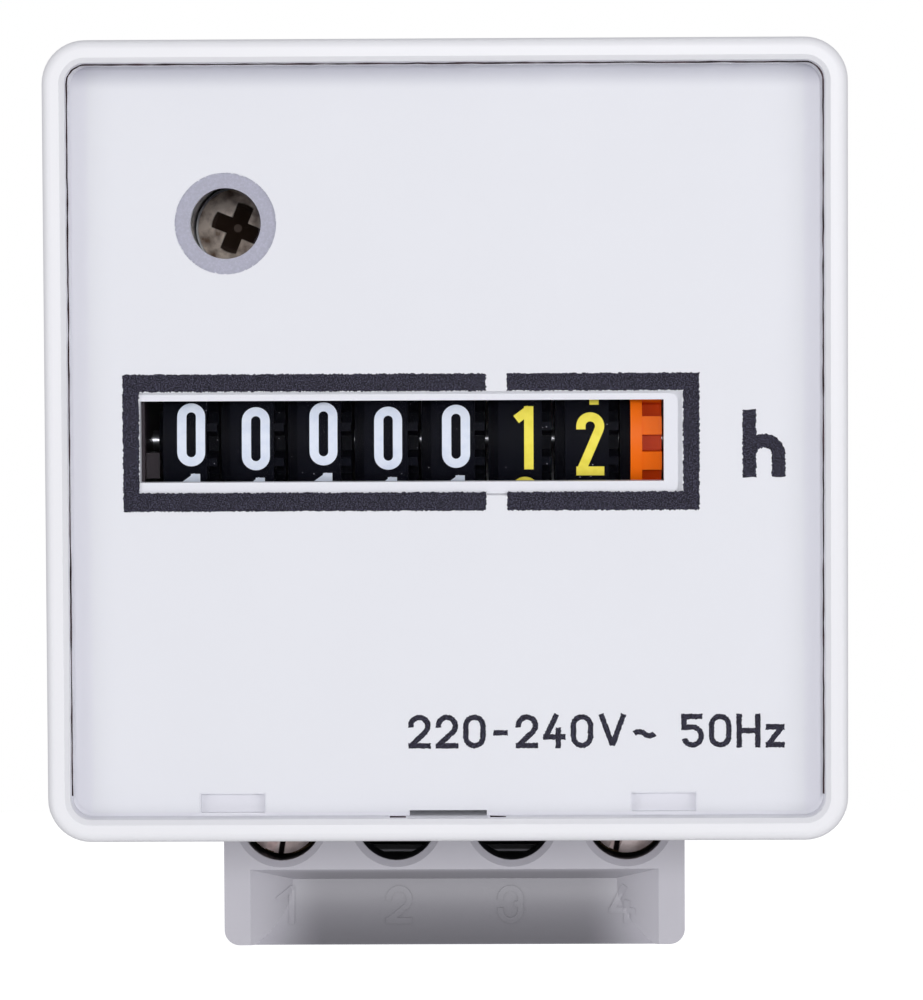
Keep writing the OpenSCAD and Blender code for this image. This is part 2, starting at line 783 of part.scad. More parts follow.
// Scooped recess under the terminals for the moulded numbers, deepest under its upper edge and level with
// the block's front at the lower one
module number_recess() {
    before = y_block - recess_depth;
    floor = y_block + recess_depth;
    wide = recess_w / 2 + recess_side_run;
    narrow = recess_w / 2 - recess_side_run;
    intersection() {
        rotate([90, 0, 90]) linear_extrude(2 * block_w, center = true) intersection() {
            polygon([
                [before, -recess_z + recess_top_run],
                [floor, scoop_z],
                [floor, -block_bottom - cut],
                [before, -block_bottom - cut]
            ]);
            translate([floor - scoop_r, scoop_z]) circle(scoop_r);
        }
        translate([0, 0, -block_bottom - cut]) linear_extrude(block_bottom)
            polygon([[-wide, before], [wide, before], [narrow, floor], [-narrow, floor]]);
    }
}

// Countersunk driver hole, clamp chamber and wire entry of one terminal
module terminal_cuts(x) {
    translate([x, y_block - cut, -terminal_z]) rotate([-90, 0, 0])
        cylinder(h = terminal_sink + cut, r1 = terminal_hole_r + terminal_sink + cut, r2 = terminal_hole_r);
    slab(y_block - cut, clamp_y[0]) translate([x, -terminal_z]) circle(terminal_hole_r);
    slab(clamp_y[0], cut) translate([x, -terminal_z])
        square([clamp_w + 2 * slip, clamp_h + 2 * slip], center = true);
    translate([x - wire_entry / 2, wire_y - wire_entry / 2, -block_bottom - cut])
        cube([wire_entry, wire_entry, block_bottom - terminal_z + cut]);
    slab(strip_y - slip, cut) translate([x - strip_w / 2 - slip, -terminal_z])
        square([strip_w + 2 * slip, terminal_z + blade_z + strip_w]);
}

module wall_posts(r) {
    for (side = [-1, 1]) translate([side * wall_screw_spacing / 2, wall_screw_z]) circle(r);
}

// Moulded base: a hollow deck behind the meter and a solid terminal block below it
module socket_base() {
    color(plastic_grey) difference() {
        union() {
            difference() {
                union() {
                    slab(y_back, 0) base_outline(0);
                    slab(y_block, y_back) translate([0, -(block_top + block_bottom) / 2])
                        rounded(block_w, block_bottom - block_top, 1);
                }
                slab(y_back + deck_t, cut) translate([0, (base_top - block_top) / 2])
                    square([base_w - 2 * base_wall, base_top + block_top - 2 * base_wall], center = true);
                slab(-base_cover_t, cut) base_outline(base_wall);
                number_recess();
                for (x = terminals) terminal_cuts(x);
            }
            slab(y_back, 0) wall_posts(wall_post_r);
            slab(y_back, y_back + insert_l) translate([screw_x, screw_z]) circle(insert_boss_r);
        }
        slab(y_back - cut, cut) wall_posts(wall_screw_r);
        slab(y_back - cut, y_back + insert_l + cut) translate([screw_x, screw_z]) circle(insert_r + fixed);
        for (x = blade_x)
            slab(y_back - cut, y_back + deck_t + cut) translate([x, blade_z])
                square([blade_t + 4 * slip, blade_w + 4 * slip], center = true);
    }
}

// Insulating plate let into the back of the base, flush with its rim
module base_cover() {
    color(plastic_grey) slab(-base_cover_t, 0) difference() {
        base_outline(base_wall + slip);
        wall_posts(wall_post_r + slip);
    }
}

module threaded_insert() {
    color(brass) slab(y_back, y_back + insert_l)
        translate([screw_x, screw_z]) ring(insert_r, screw_r + fixed);
}

// Flat strips from the terminals to a fork of two leaves round each plug blade
module contact_strips() {
    color(brass)
        for (i = [0, 1]) {
            x = terminals[fitted[i]];
            slab(strip_y, strip_y + strip_t) {
                translate([min(x, blade_x[i]) - strip_w / 2, blade_z - strip_w / 2])
                    square([abs(x - blade_x[i]) + strip_w, strip_w]);
                translate([x - strip_w / 2, -terminal_z - strip_w / 2])
                    square([strip_w, terminal_z + blade_z + strip_w]);
            }
            for (side = [-1, 1])
                slab(y_back + deck_t + 1, strip_y)
                    translate([blade_x[i] + side * (blade_t + leaf_t + 2 * running) / 2, blade_z])
                        square([leaf_t, blade_w + 0.6], center = true);
        }
}

// Clamping blocks of the two wired terminals
module wire_clamps() {
    color(brass)
        for (i = fitted)
            difference() {
                slab(clamp_y[0], clamp_y[1]) translate([terminals[i], -terminal_z])
                    square([clamp_w, clamp_h], center = true);
                slab(clamp_y[0] - cut, wire_y) translate([terminals[i], -terminal_z])
                    circle(clamp_screw_r + fixed);
                translate([terminals[i], wire_y, -terminal_z])
                    cylinder(h = 2 * clamp_h, r = wire_r, center = true);
            }
}

// Slotted screws of the two wired terminals
module terminal_screws() {
    slot_w = 0.6;
    color(steel)
        for (i = fitted)
            translate([terminals[i], clamp_y[0] - 0.3, -terminal_z]) rotate([90, 0, 0]) {
                difference() {
                    rotate_extrude() head_section(terminal_head_r, terminal_head_h);
                    rotate(68) translate([0, 0, terminal_head_h])
                        cube([3 * terminal_head_r, slot_w, terminal_head_h], center = true);
                }
                mirror([0, 0, 1]) cylinder(h = wire_y - clamp_y[0] - 0.6, r = clamp_screw_r);
            }
}

housing();
window();
dial();
carrier();
counter_bracket();
gear_plate();
drum_shaft();
run_indicator();
drive_flange();
final_wheel();
second_wheel();
first_wheel();
train_pins();
number_drum(0);  // drum_ten_thousands
number_drum(1);  // drum_thousands
number_drum(2);  // drum_hundreds
number_drum(3);  // drum_tens
number_drum(4);  // drum_units
number_drum(5);  // drum_tenths
number_drum(6);  // drum_hundredths
carry_pinion(0);  // pinion_ten_thousands
carry_pinion(1);  // pinion_thousands
carry_pinion(2);  // pinion_hundreds
carry_pinion(3);  // pinion_tens
carry_pinion(4);  // pinion_units
carry_pinion(5);  // pinion_tenths
carry_pinion(6);  // pinion_hundredths
pinion_shaft();
motor_can();
motor_cover();
coil_bobbin();
coil_winding();
rotor_magnet();
rotor_shaft();
rear_cover();
plug_blades();
fixing_screw();
socket_base();
base_cover();
threaded_insert();
contact_strips();
wire_clamps();
terminal_screws();
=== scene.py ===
"""Looks of a square hour meter on its terminal base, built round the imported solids.

X is to the right, Y goes into the wall and Z is up. Sizes are written in millimetres and become metres
through MM where they enter a mesh, a pattern or the camera.
"""

import json
import logging
import math
import random
from contextlib import contextmanager
from dataclasses import dataclass, field
from enum import Enum
from fnmatch import fnmatchcase
from typing import Iterator, Union

import bmesh
import bpy
from mathutils import Matrix, Vector

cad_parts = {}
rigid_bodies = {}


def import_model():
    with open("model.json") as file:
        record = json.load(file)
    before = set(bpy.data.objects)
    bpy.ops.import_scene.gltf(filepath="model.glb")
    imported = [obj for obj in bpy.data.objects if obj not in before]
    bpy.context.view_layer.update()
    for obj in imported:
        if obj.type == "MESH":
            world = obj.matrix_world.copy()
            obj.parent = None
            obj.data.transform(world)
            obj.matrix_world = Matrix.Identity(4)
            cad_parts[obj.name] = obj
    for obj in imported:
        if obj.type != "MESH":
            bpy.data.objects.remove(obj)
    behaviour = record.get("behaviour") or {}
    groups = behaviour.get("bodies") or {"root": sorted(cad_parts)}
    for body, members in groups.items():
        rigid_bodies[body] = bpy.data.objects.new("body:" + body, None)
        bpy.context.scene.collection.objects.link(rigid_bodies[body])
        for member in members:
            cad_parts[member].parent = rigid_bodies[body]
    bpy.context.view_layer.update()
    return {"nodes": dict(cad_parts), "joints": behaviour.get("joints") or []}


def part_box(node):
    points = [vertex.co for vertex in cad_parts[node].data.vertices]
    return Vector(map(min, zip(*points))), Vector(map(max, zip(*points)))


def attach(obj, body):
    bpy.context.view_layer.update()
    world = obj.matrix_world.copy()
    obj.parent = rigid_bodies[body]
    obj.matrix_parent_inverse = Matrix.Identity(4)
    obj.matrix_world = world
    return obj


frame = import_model()
MM = 0.001
CASE = "case"
PLASTIC_IOR = 1.5
ACRYLIC_IOR = 1.49
log = logging.getLogger("hour_meter")

Tree = bpy.types.NodeTree
Piece = bpy.types.Object
Source = Union[bpy.types.Node, bpy.types.NodeSocket]
Key = Union[str, int]


def linear(colour: str) -> tuple[float, float, float, float]:
    """Turns an sRGB hex colour into a linear one.

    Args:
        colour: The colour as "#rrggbb".

    Returns:
        Linear red, green and blue, with an alpha of 1.
    """
    parts = [int(colour[i:i + 2], 16) / 255 for i in (1, 3, 5)]
    red, green, blue = (c / 12.92 if c <= 0.04045 else ((c + 0.055) / 1.055) ** 2.4 for c in parts)
    return red, green, blue, 1.0


def add_node(
    tree: Tree, kind: str, settings: dict[Key, object] | None = None, links: dict[Key, Source] | None = None
) -> bpy.types.Node:
    """Adds a node with its settings and links.

    Args:
        tree: The node tree that gets the node.
        kind: The node's type name.
        settings: Values by input name or index, or by property name.
        links: What feeds each input, by its name or index; a node stands for its first output.

    Returns:
        The new node.
    """
    node = tree.nodes.new(kind)
    for key, value in (settings or {}).items():
        if isinstance(key, int) or key in node.inputs:
            node.inputs[key].default_value = value
        else:
            setattr(node, key, value)
    for key, source in (links or {}).items():
        socket = source.outputs[0] if isinstance(source, bpy.types.Node) else source
        tree.links.new(socket, node.inputs[key])
    return node


def per_metre(size_mm: float) -> float:
    """Returns the texture scale whose features are about size_mm across."""
    return 1.0 / (size_mm * MM)


@dataclass(frozen=True)
class Edge:
    """A soft edge of a region on a surface.

    Attributes:
        along: The coordinate that the edge crosses.
        start, end: Where along it the region begins and where it is full.
        least: How much of the region there is before it begins.
    """

    along: Source
    start: float
    end: float
    least: float = 0.0


def region(tree: Tree, *edges: Edge) -> Source:
    """Adds the nodes of a region within soft edges.

    Args:
        tree: The node tree that gets the nodes.
        edges: The region's edges.

    Returns:
        The node that gives 1 inside all the edges and 0 outside one of them.
    """
    steps = [
        add_node(
            tree, "ShaderNodeMapRange",
            {"From Min": edge.start * MM, "From Max": edge.end * MM, "To Min": edge.least, "To Max": 1.0,
             "interpolation_type": "SMOOTHSTEP"},
            {"Value": edge.along},
        )
        for edge in edges
    ]
    inside = steps[0]
    for step in steps[1:]:
        inside = add_node(tree, "ShaderNodeMath", {"operation": "MULTIPLY"}, {0: inside, 1: step})
    return inside


class Cover(Enum):
    """How a patch changes the colour that it lies on."""

    SHADE = "MULTIPLY"
    # Lays the patch's own colour over the one below: dust flecks, and the screw slots' painted shade and
    # dirt.
    DIRT = "MIX"


@dataclass(frozen=True)
class Patch:
    """A region of a surface with a colour of its own, which shades or covers the one below it."""

    inside: Source
    colour: str
    cover: Cover = Cover.SHADE


@dataclass(frozen=True)
class Finish:
    """What a surface is made of; subclasses add the nodes."""

    name: str

    def material(self) -> bpy.types.Material:
        """Returns the finish's material, which is made on first use."""
        made = bpy.data.materials.get(self.name)
        if made is None:
            made = bpy.data.materials.new(self.name)
            made.use_nodes = True
            tree = made.node_tree
            tree.nodes.clear()
            place = add_node(tree, "ShaderNodeTexCoord").outputs["Object"]
            add_node(tree, "ShaderNodeOutputMaterial", links={"Surface": self.shade(tree, place)})
        return made

    def shade(self, tree: Tree, place: Source) -> Source:
        """Adds the finish's nodes, with its patterns at place, and returns the shader that shows it."""
        raise NotImplementedError

    def patches(self, tree: Tree, place: Source) -> list[Patch]:
        """Returns the regions with a colour of their own; a plain finish has none."""
        return []

    def paint(self, tree: Tree, place: Source, share: Source, first: str, second: str) -> Source:
        """Adds the finish's colour with its patches.

        Args:
            tree: The node tree that gets the nodes.
            place: The coordinates that the patches follow.
            share: How far the colour is on its way from the first to the second.
            first: The first colour.
            second: The second colour.

        Returns:
            The socket with the colour.
        """
        settings = {"data_type": "RGBA", 6: linear(first), 7: linear(second)}
        colour = add_node(tree, "ShaderNodeMix", settings, {0: share}).outputs[2]
        for patch in self.patches(tree, place):
            settings = {"data_type": "RGBA", "blend_type": patch.cover.value, 7: linear(patch.colour)}
            colour = add_node(tree, "ShaderNodeMix", settings, {0: patch.inside, 6: colour}).outputs[2]
        return colour


@dataclass(frozen=True)
class MouldedPlastic(Finish):
    """Injection-moulded plastic: satin, with a fine eroded grain and faint flow clouds.

    A real grain is finer; this one is as coarse as it needs to show.

    Attributes:
        colour, cloud: The plastic's colour and that of its flow clouds.
        swing: How far the roughness varies with the grain.
        grain_strength: How much of the grain's depth shows.
    """

    colour: str
    cloud: str
    roughness: float = 0.42
    grain_mm: float = 0.12
    grain_depth_mm: float = 0.004
    cloud_mm: float = 9.0
    shine: float = 0.5
    swing: float = 0.06
    grain_strength: float = 0.4

    def shade(self, tree: Tree, place: Source) -> Source:
        """Adds the plastic's clouds, grain and gloss and returns its shader."""
        clouds = add_node(
            tree, "ShaderNodeTexNoise", {"Scale": per_metre(self.cloud_mm), "Detail": 3.0}, {"Vector": place}
        )
        grain = add_node(
            tree, "ShaderNodeTexNoise", {"Scale": per_metre(self.grain_mm), "Detail": 2.0}, {"Vector": place}
        )
        gloss = add_node(
            tree, "ShaderNodeMapRange",
            {"To Min": self.roughness - self.swing, "To Max": self.roughness + self.swing}, {"Value": grain},
        )
        bump = add_node(
            tree, "ShaderNodeBump", {"Strength": self.grain_strength, "Distance": self.grain_depth_mm * MM},
            {"Height": grain},
        )
        return add_node(
            tree, "ShaderNodeBsdfPrincipled", {"IOR": PLASTIC_IOR, "Specular IOR Level": self.shine},
            {"Base Color": self.paint(tree, place, clouds, self.colour, self.cloud), "Roughness": gloss,
             "Normal": bump},
        )


@dataclass(frozen=True)
class ScoopedPlastic(MouldedPlastic):
    """The base's plastic, with painted shade in its recess, deepening towards the recess's lower edge, and
    painted shade deep in its terminal holes.

    Attributes:
        recess, hole: What is left of the light at the recess's lower edge and deep in a hole.
        half_w: Distance from the middle to the recess's ends.
        upper, lower: Heights of the recess's upper and lower edge.
        front, back: Depths of the block's front and of the holes' ends.
        hole_top: Height of the holes' upper edges.
        fade: Width over which the painted shade fades out towards the recess's ends.
            upper_share, upper_fade: Share of the painted shade near the upper edge, and how far it takes to
                set in.
        lower_fade: How far the painted shade reaches past the lower edge.
            lip, hole_lip: How far behind the front the painted shade of the recess and that of the holes
                begin and are full.
            hole_fade, hole_edge: How far the holes' painted shade takes to set in at the holes' far ends, and
                at their edges.
    """

    recess: str = "#a2a2a2"
    hole: str = "#242428"
    half_w: float = 13.3
    upper: float = -28.9
    lower: float = -33.94
    front: float = -16.0
    back: float = -0.2
    hole_top: float = -22.5
    fade: float = 5.0
    upper_share: float = 0.6
    upper_fade: float = 0.5
    lower_fade: float = 0.01
    lip: tuple[float, float] = (0.03, 0.3)
    hole_lip: tuple[float, float] = (0.35, 0.9)
    hole_fade: float = 0.3
    hole_edge: float = 0.1

    def patches(self, tree: Tree, place: Source) -> list[Patch]:
        """Returns the recess and the holes with their painted shades."""
        x, y, z = add_node(tree, "ShaderNodeSeparateXYZ", links={"Vector": place}).outputs
        aside = add_node(tree, "ShaderNodeMath", {"operation": "ABSOLUTE"}, {0: x})
        # Painted shade in the recess, darker towards its lower edge and fading out towards its ends.
        painted_recess_shade = region(
            tree,
            Edge(aside, self.half_w, self.half_w - self.fade),
            Edge(z, self.upper, self.lower, self.upper_share),
            Edge(z, self.upper, self.upper - self.upper_fade),
            Edge(z, self.lower - self.lower_fade, self.lower),
            Edge(y, self.front + self.lip[0], self.front + self.lip[1]),
        )
        # Painted shade deep in the terminal holes.
        painted_hole_shade = region(
            tree,
            Edge(aside, self.half_w + self.hole_fade, self.half_w),
            Edge(z, self.upper, self.upper + self.hole_edge),
            Edge(z, self.hole_top, self.hole_top - self.hole_edge),
            Edge(y, self.front + self.hole_lip[0], self.front + self.hole_lip[1]),
            Edge(y, self.back, self.back - self.hole_fade),
        )
        return [Patch(painted_recess_shade, self.recess), Patch(painted_hole_shade, self.hole)]


@dataclass(frozen=True)
class EdgedSheet(MouldedPlastic):
    """The dial's white sheet, with a painted shadow of the bezel along its upper rim and a faint painted
    shade at its sides.

    Attributes:
        edge: Distance from the middle to the sheet's edges.
        top_band: How far below the upper edge the painted shadow begins.
        side_band: How far from the side edges the painted shade begins and is full.
        top_shade, side_shade: What is left of the light at the upper and at the side edges.
    """

    edge: float = 22.45
    top_band: float = 1.5
    side_band: tuple[float, float] = (1.2, 0.75)
    top_shade: str = "#cbcbd2"
    side_shade: str = "#fdfcff"

    def patches(self, tree: Tree, place: Source) -> list[Patch]:
        """Returns the sheet's upper rim and its sides with their painted shadow and shade."""
        x, _, z = add_node(tree, "ShaderNodeSeparateXYZ", links={"Vector": place}).outputs
        aside = add_node(tree, "ShaderNodeMath", {"operation": "ABSOLUTE"}, {0: x})
        # Painted shadow of the bezel along the upper rim, and a faint painted shade at the sides.
        painted_top_shadow = region(tree, Edge(z, self.edge - self.top_band, self.edge))
        painted_side_shade = region(tree, Edge(aside, self.edge - self.side_band[0], self.edge - self.side_band[1]))
        return [Patch(painted_top_shadow, self.top_shade), Patch(painted_side_shade, self.side_shade)]


@dataclass(frozen=True)
class NotchedPlastic(MouldedPlastic):
    """A toothed wheel's plastic, with a redder, deeper painted shade down in its notches.

    Attributes:
        axis: The wheel's axis, as y and z.
        tip_r, floor_r: Distances from the axis at which the painted shade begins and is full.
        notch: What is left of the light on a notch's floor.
    """

    axis: tuple[float, float] = (-31.35, -0.3)
    tip_r: float = 6.7
    floor_r: float = 6.2
    notch: str = "#d09ad4"

    def patches(self, tree: Tree, place: Source) -> list[Patch]:
        """Returns the notches with their painted shade."""
        # Painted shade on the notches' floors, set by distance from the wheel's axis.
        _, y, z = add_node(tree, "ShaderNodeSeparateXYZ", links={"Vector": place}).outputs
        flat = add_node(tree, "ShaderNodeCombineXYZ", links={"Y": y, "Z": z})
        middle = (0, self.axis[0] * MM, self.axis[1] * MM)
        away = add_node(tree, "ShaderNodeVectorMath", {"operation": "DISTANCE", 1: middle}, {0: flat})
        return [Patch(region(tree, Edge(away.outputs["Value"], self.tip_r, self.floor_r)), self.notch)]


@dataclass(frozen=True)
class DustyPlastic(Finish):
    """Moulded black plastic with stray flecks of print and dust on it.

    Attributes:
        colour, sheen: The plastic's colour where it is clean and where it is rubbed.
        fleck: Colour of the flecks.
        tone_mm: Size of the rubbed places.
        fleck_mm, fleck_share: Distance between flecks, and how much of it a fleck takes up.
        swarm_mm, swarm_edge: Size of the places with flecks, and the noise above which flecks show.
        smoother, rougher: How far the roughness goes down and up with the tone.
    """

    colour: str
    sheen: str
    fleck: str
    roughness: float = 0.45
    shine: float = 0.04
    tone_mm: float = 1.5
    fleck_mm: float = 0.5
    fleck_share: float = 0.07
    swarm_mm: float = 1.9
    swarm_edge: float = 0.56
    smoother: float = 0.08
    rougher: float = 0.1

    def patches(self, tree: Tree, place: Source) -> list[Patch]:
        """Returns the sparse flecks."""
        cells = add_node(tree, "ShaderNodeTexVoronoi", {"Scale": per_metre(self.fleck_mm)}, {"Vector": place})
        near = add_node(tree, "ShaderNodeMath", {"operation": "LESS_THAN", 1: self.fleck_share}, {0: cells})
        swarm = add_node(
            tree, "ShaderNodeTexNoise", {"Scale": per_metre(self.swarm_mm), "Detail": 0.0}, {"Vector": place}
        )
        chosen = add_node(
            tree, "ShaderNodeMath", {"operation": "GREATER_THAN", 1: self.swarm_edge}, {0: swarm}
        )
        flecks = add_node(tree, "ShaderNodeMath", {"operation": "MULTIPLY"}, {0: near, 1: chosen})
        return [Patch(flecks, self.fleck, Cover.DIRT)]

    def shade(self, tree: Tree, place: Source) -> Source:
        """Adds the plastic's tone and gloss and returns its shader."""
        tone = add_node(
            tree, "ShaderNodeTexNoise", {"Scale": per_metre(self.tone_mm), "Detail": 4.0}, {"Vector": place}
        )
        gloss = add_node(
            tree, "ShaderNodeMapRange",
            {"To Min": self.roughness - self.smoother, "To Max": self.roughness + self.rougher},
            {"Value": tone},
        )
        return add_node(
            tree, "ShaderNodeBsdfPrincipled", {"IOR": PLASTIC_IOR, "Specular IOR Level": self.shine},
            {"Base Color": self.paint(tree, place, tone, self.colour, self.sheen), "Roughness": gloss},
        )


@dataclass(frozen=True)
class ClearAcrylic(Finish):
    """Polished clear acrylic, thin enough that it lets light straight through and only mirrors a little.

    Attributes:
        tint: What one surface leaves of the light that goes through it.
        roughness: Blur of what it mirrors.
        glare: Share of the polished surface's mirroring that handling has left.
        haze_mm: Size of the places where the blur differs.
    """

    tint: str
    roughness: float = 0.05
    glare: float = 0.05
    haze_mm: float = 4.0

    def shade(self, tree: Tree, place: Source) -> Source:
        """Adds the clear body and its mirroring and returns the shader."""
        haze = add_node(
            tree, "ShaderNodeTexNoise", {"Scale": per_metre(self.haze_mm), "Detail": 3.0}, {"Vector": place}
        )
        gloss = add_node(
            tree, "ShaderNodeMapRange", {"To Min": 0.0, "To Max": 2 * self.roughness}, {"Value": haze}
        )
        body = add_node(tree, "ShaderNodeBsdfTransparent", {"Color": linear(self.tint)})
        mirror = add_node(tree, "ShaderNodeBsdfGlossy", links={"Roughness": gloss})
        edge = add_node(tree, "ShaderNodeFresnel", {"IOR": ACRYLIC_IOR})
        share = add_node(tree, "ShaderNodeMath", {"operation": "MULTIPLY", 1: self.glare}, {0: edge})
        return add_node(tree, "ShaderNodeMixShader", links={0: share, 1: body, 2: mirror})


@dataclass(frozen=True)
class PrintInk(Finish):
    """Screen-printed ink: uneven, with paler grains where the mesh let less of it through.

    Attributes:
        colour, pale: The ink's colour where it is full and where it is thin.
        full, thin: Values of the grain at which the ink is full and thin.
    """

    colour: str
    pale: str
    grain_mm: float = 0.16
    roughness: float = 0.55
    shine: float = 0.15
    full: float = 0.42
    thin: float = 0.75

    def shade(self, tree: Tree, place: Source) -> Source:
        """Adds the ink's grain and returns its shader."""
        grain = add_node(
            tree, "ShaderNodeTexNoise", {"Scale": per_metre(self.grain_mm), "Detail": 2.0}, {"Vector": place}
        )
        share = add_node(
            tree, "ShaderNodeMapRange", {"From Min": self.full, "From Max": self.thin}, {"Value": grain}
        )
        return add_node(
            tree, "ShaderNodeBsdfPrincipled",
            {"Roughness": self.roughness, "IOR": PLASTIC_IOR, "Specular IOR Level": self.shine},
            {"Base Color": self.paint(tree, place, share, self.colour, self.pale)},
        )


@dataclass(frozen=True)
class Metal(Finish):
    """Plated or bare metal with a breath of tarnish.

    Attributes:
        colour, tarnish: The metal's colour where it is clean and where it is tarnished.
        blotch_mm: Size of the tarnished places.
        bare: Share of the metal that no dull film covers.
        clean, stained: Values of the blotches at which the metal is clean and tarnished.
        smoother, rougher: How far the roughness goes down and up with the blotches.
    """

    colour: str
    tarnish: str
    roughness: float = 0.28
    blotch_mm: float = 1.2
    bare: float = 1.0
    clean: float = 0.4
    stained: float = 0.7
    smoother: float = 0.08
    rougher: float = 0.14

    def shade(self, tree: Tree, place: Source) -> Source:
        """Adds the metal's tarnish and gloss and returns its shader."""
        blotch = add_node(
            tree, "ShaderNodeTexNoise", {"Scale": per_metre(self.blotch_mm), "Detail": 5.0}, {"Vector": place}
        )
        share = add_node(
            tree, "ShaderNodeMapRange", {"From Min": self.clean, "From Max": self.stained}, {"Value": blotch}
        )
        gloss = add_node(
            tree, "ShaderNodeMapRange",
            {"To Min": self.roughness - self.smoother, "To Max": self.roughness + self.rougher},
            {"Value": blotch},
        )
        return add_node(
            tree, "ShaderNodeBsdfPrincipled", {"Metallic": self.bare},
            {"Base Color": self.paint(tree, place, share, self.colour, self.tarnish), "Roughness": gloss},
        )


@dataclass(frozen=True)
class SlottedMetal(Metal):
    """Plated screws with dark slots: painted shade and dirt laid over the head along each slot.

    Attributes:
        dirt: Colour of the slots' painted shade and dirt.
        at: The screw's axis, as x and z; a pair has its second screw on the other side of x = 0.
        pair: Whether there are two such screws.
        slots_deg: Directions of the slots in the head.
        slot_w: Width of a slot.
        reach: Distance from the axis to the ends of the slots.
        end_fade, side_fade: How far the edge of the slots' painted shade and dirt is soft to each side, at a
            slot's end and at its side.
    """

    dirt: str = "#3a2b22"
    at: tuple[float, float] = (0.0, 0.0)
    pair: bool = False
    slots_deg: tuple[float, ...] = (0.0,)
    slot_w: float = 1.0
    reach: float = 1.6
    end_fade: float = 0.06
    side_fade: float = 0.04

    def patches(self, tree: Tree, place: Source) -> list[Patch]:
        """Returns the slots with their painted shade and dirt."""
        x, _, z = add_node(tree, "ShaderNodeSeparateXYZ", links={"Vector": place}).outputs
        if self.pair:
            side = add_node(tree, "ShaderNodeMath", {"operation": "SIGN"}, {0: x})
            to_axis = {"operation": "MULTIPLY", 1: -abs(self.at[0]) * MM}
            shift = add_node(tree, "ShaderNodeMath", to_axis, {0: side})
            dx = add_node(tree, "ShaderNodeMath", links={0: x, 1: shift})
        else:
            dx = add_node(tree, "ShaderNodeMath", {1: -self.at[0] * MM}, {0: x})
        dz = add_node(tree, "ShaderNodeMath", {1: -self.at[1] * MM}, {0: z})
        flat = add_node(tree, "ShaderNodeCombineXYZ", links={"X": dx, "Z": dz})
        away = add_node(tree, "ShaderNodeVectorMath", {"operation": "LENGTH"}, {0: flat}).outputs["Value"]
        half = self.slot_w / 2
        slots = []
        for turn in map(math.radians, self.slots_deg):
            across = {"operation": "DOT_PRODUCT", 1: (-math.sin(turn), 0, math.cos(turn))}
            off = add_node(tree, "ShaderNodeVectorMath", across, {0: flat}).outputs["Value"]
            off = add_node(tree, "ShaderNodeMath", {"operation": "ABSOLUTE"}, {0: off})
            # Painted shade and dirt along the slot, laid over the metal's colour.
            inside = region(
                tree,
                Edge(away, self.reach + self.end_fade, self.reach - self.end_fade),
                Edge(off, half + self.side_fade, half - self.side_fade),
            )
            slots.append(Patch(inside, self.dirt, Cover.DIRT))
        return slots


class Finishes(Enum):
    """The finishes of the meter, each named for what the real surface is."""

    # Mouldings: cold white for the meter, a cool grey for the base with painted shade in its recess and holes
    WHITE_ABS = MouldedPlastic("white_abs", "#f0f0f4", "#ececf0", 0.4)
    CARRIER_ABS = MouldedPlastic("carrier_abs", "#eeeff2", "#eaebef", 0.5)
    GREY_ABS = ScoopedPlastic("grey_abs", "#c3c1c9", "#bcbac2", 0.45, 0.16, 0.006)
    # Slippery, slightly waxy inner parts, and the dull dark magnet
    GEAR_ACETAL = MouldedPlastic("gear_acetal", "#e6e7ea", "#dedfe4", 0.35)
    BOBBIN_NYLON = MouldedPlastic("bobbin_nylon", "#e9e4d6", "#ded8c8", 0.5)
    FERRITE = MouldedPlastic("bonded_ferrite", "#3a3a3e", "#323236", 0.6)
    # The counter: a bright orange wheel with painted shade in its notches, near-black drums and a dark brown
    # bracket, all with little shine
    ORANGE_ABS = NotchedPlastic("orange_abs", "#ff7606", "#fa6e04", 0.4, shine=0.12)
    BLACK_ABS = DustyPlastic("black_abs", "#06070d", "#0d0e18", "#a2a2aa")
    BROWN_ABS = MouldedPlastic("dark_brown_abs", "#2c242a", "#342a30", 0.45, shine=0.2)
    # The window, hardly seen, over a matt white sheet with a painted shadow along its rim
    CLEAR = ClearAcrylic("clear_acrylic", "#fefeff")
    DIAL_SHEET = EdgedSheet("printed_white_sheet", "#edeef0", "#eaebed", 0.5, 0.1, 0.002)
    # Flat inks, a grey ring of painted shade round the driver hole, and a dark strip of painted shade in the
    # window's seam
    DIAL_INK = PrintInk("dial_ink", "#14121b", "#504e62", 0.08)
    BARE_RING = PrintInk("ring_painted_shade", "#b0b0bc", "#bcbcca", 0.12)
    DIGIT_WHITE = PrintInk("digit_white", "#eaf1fb", "#dfe8f6", 0.6)
    DIGIT_YELLOW = PrintInk("digit_yellow", "#fff05e", "#f6e650", 0.5)
    SEAM_DUST = PrintInk("seam_dust", "#1e0e13", "#4c383f", 1.4)
    # Warm nickel screws under a dull film, with painted shade and dirt in their slots
    SCREW_NICKEL = SlottedMetal(
        "nickel_plated_screw", "#fff2e6", "#8c7668", 0.5, 0.9, 0.45, at=(-13.2, 12.76),
        slots_deg=(-22, 68), slot_w=1.05,
    )
    TERMINAL_NICKEL = SlottedMetal(
        "nickel_plated_terminal", "#fbefee", "#d6c6c4", 0.7, 0.9, dirt="#1c1719", at=(10.95, -25.8),
        pair=True, slots_deg=(80,), slot_w=0.36, reach=2.6,
    )
    # Inner metals: pale steel, yellow brass and a darkened copy of it as painted shade for the contacts and
    # clamps deep in the base, and reddish wire
    PLATED_STEEL = Metal("plated_steel", "#c9cace", "#a6a7ac", 0.3)
    BRASS = Metal("brass", "#d9b25a", "#b58f42", 0.3)
    # A darkened copy of the brass: painted shade for parts deep in the base.
    DULL_BRASS = Metal("dull_brass", "#5a4c38", "#43392b", 0.6)
    COPPER = Metal("enamelled_copper", "#c07040", "#a05830", 0.35, 0.4)


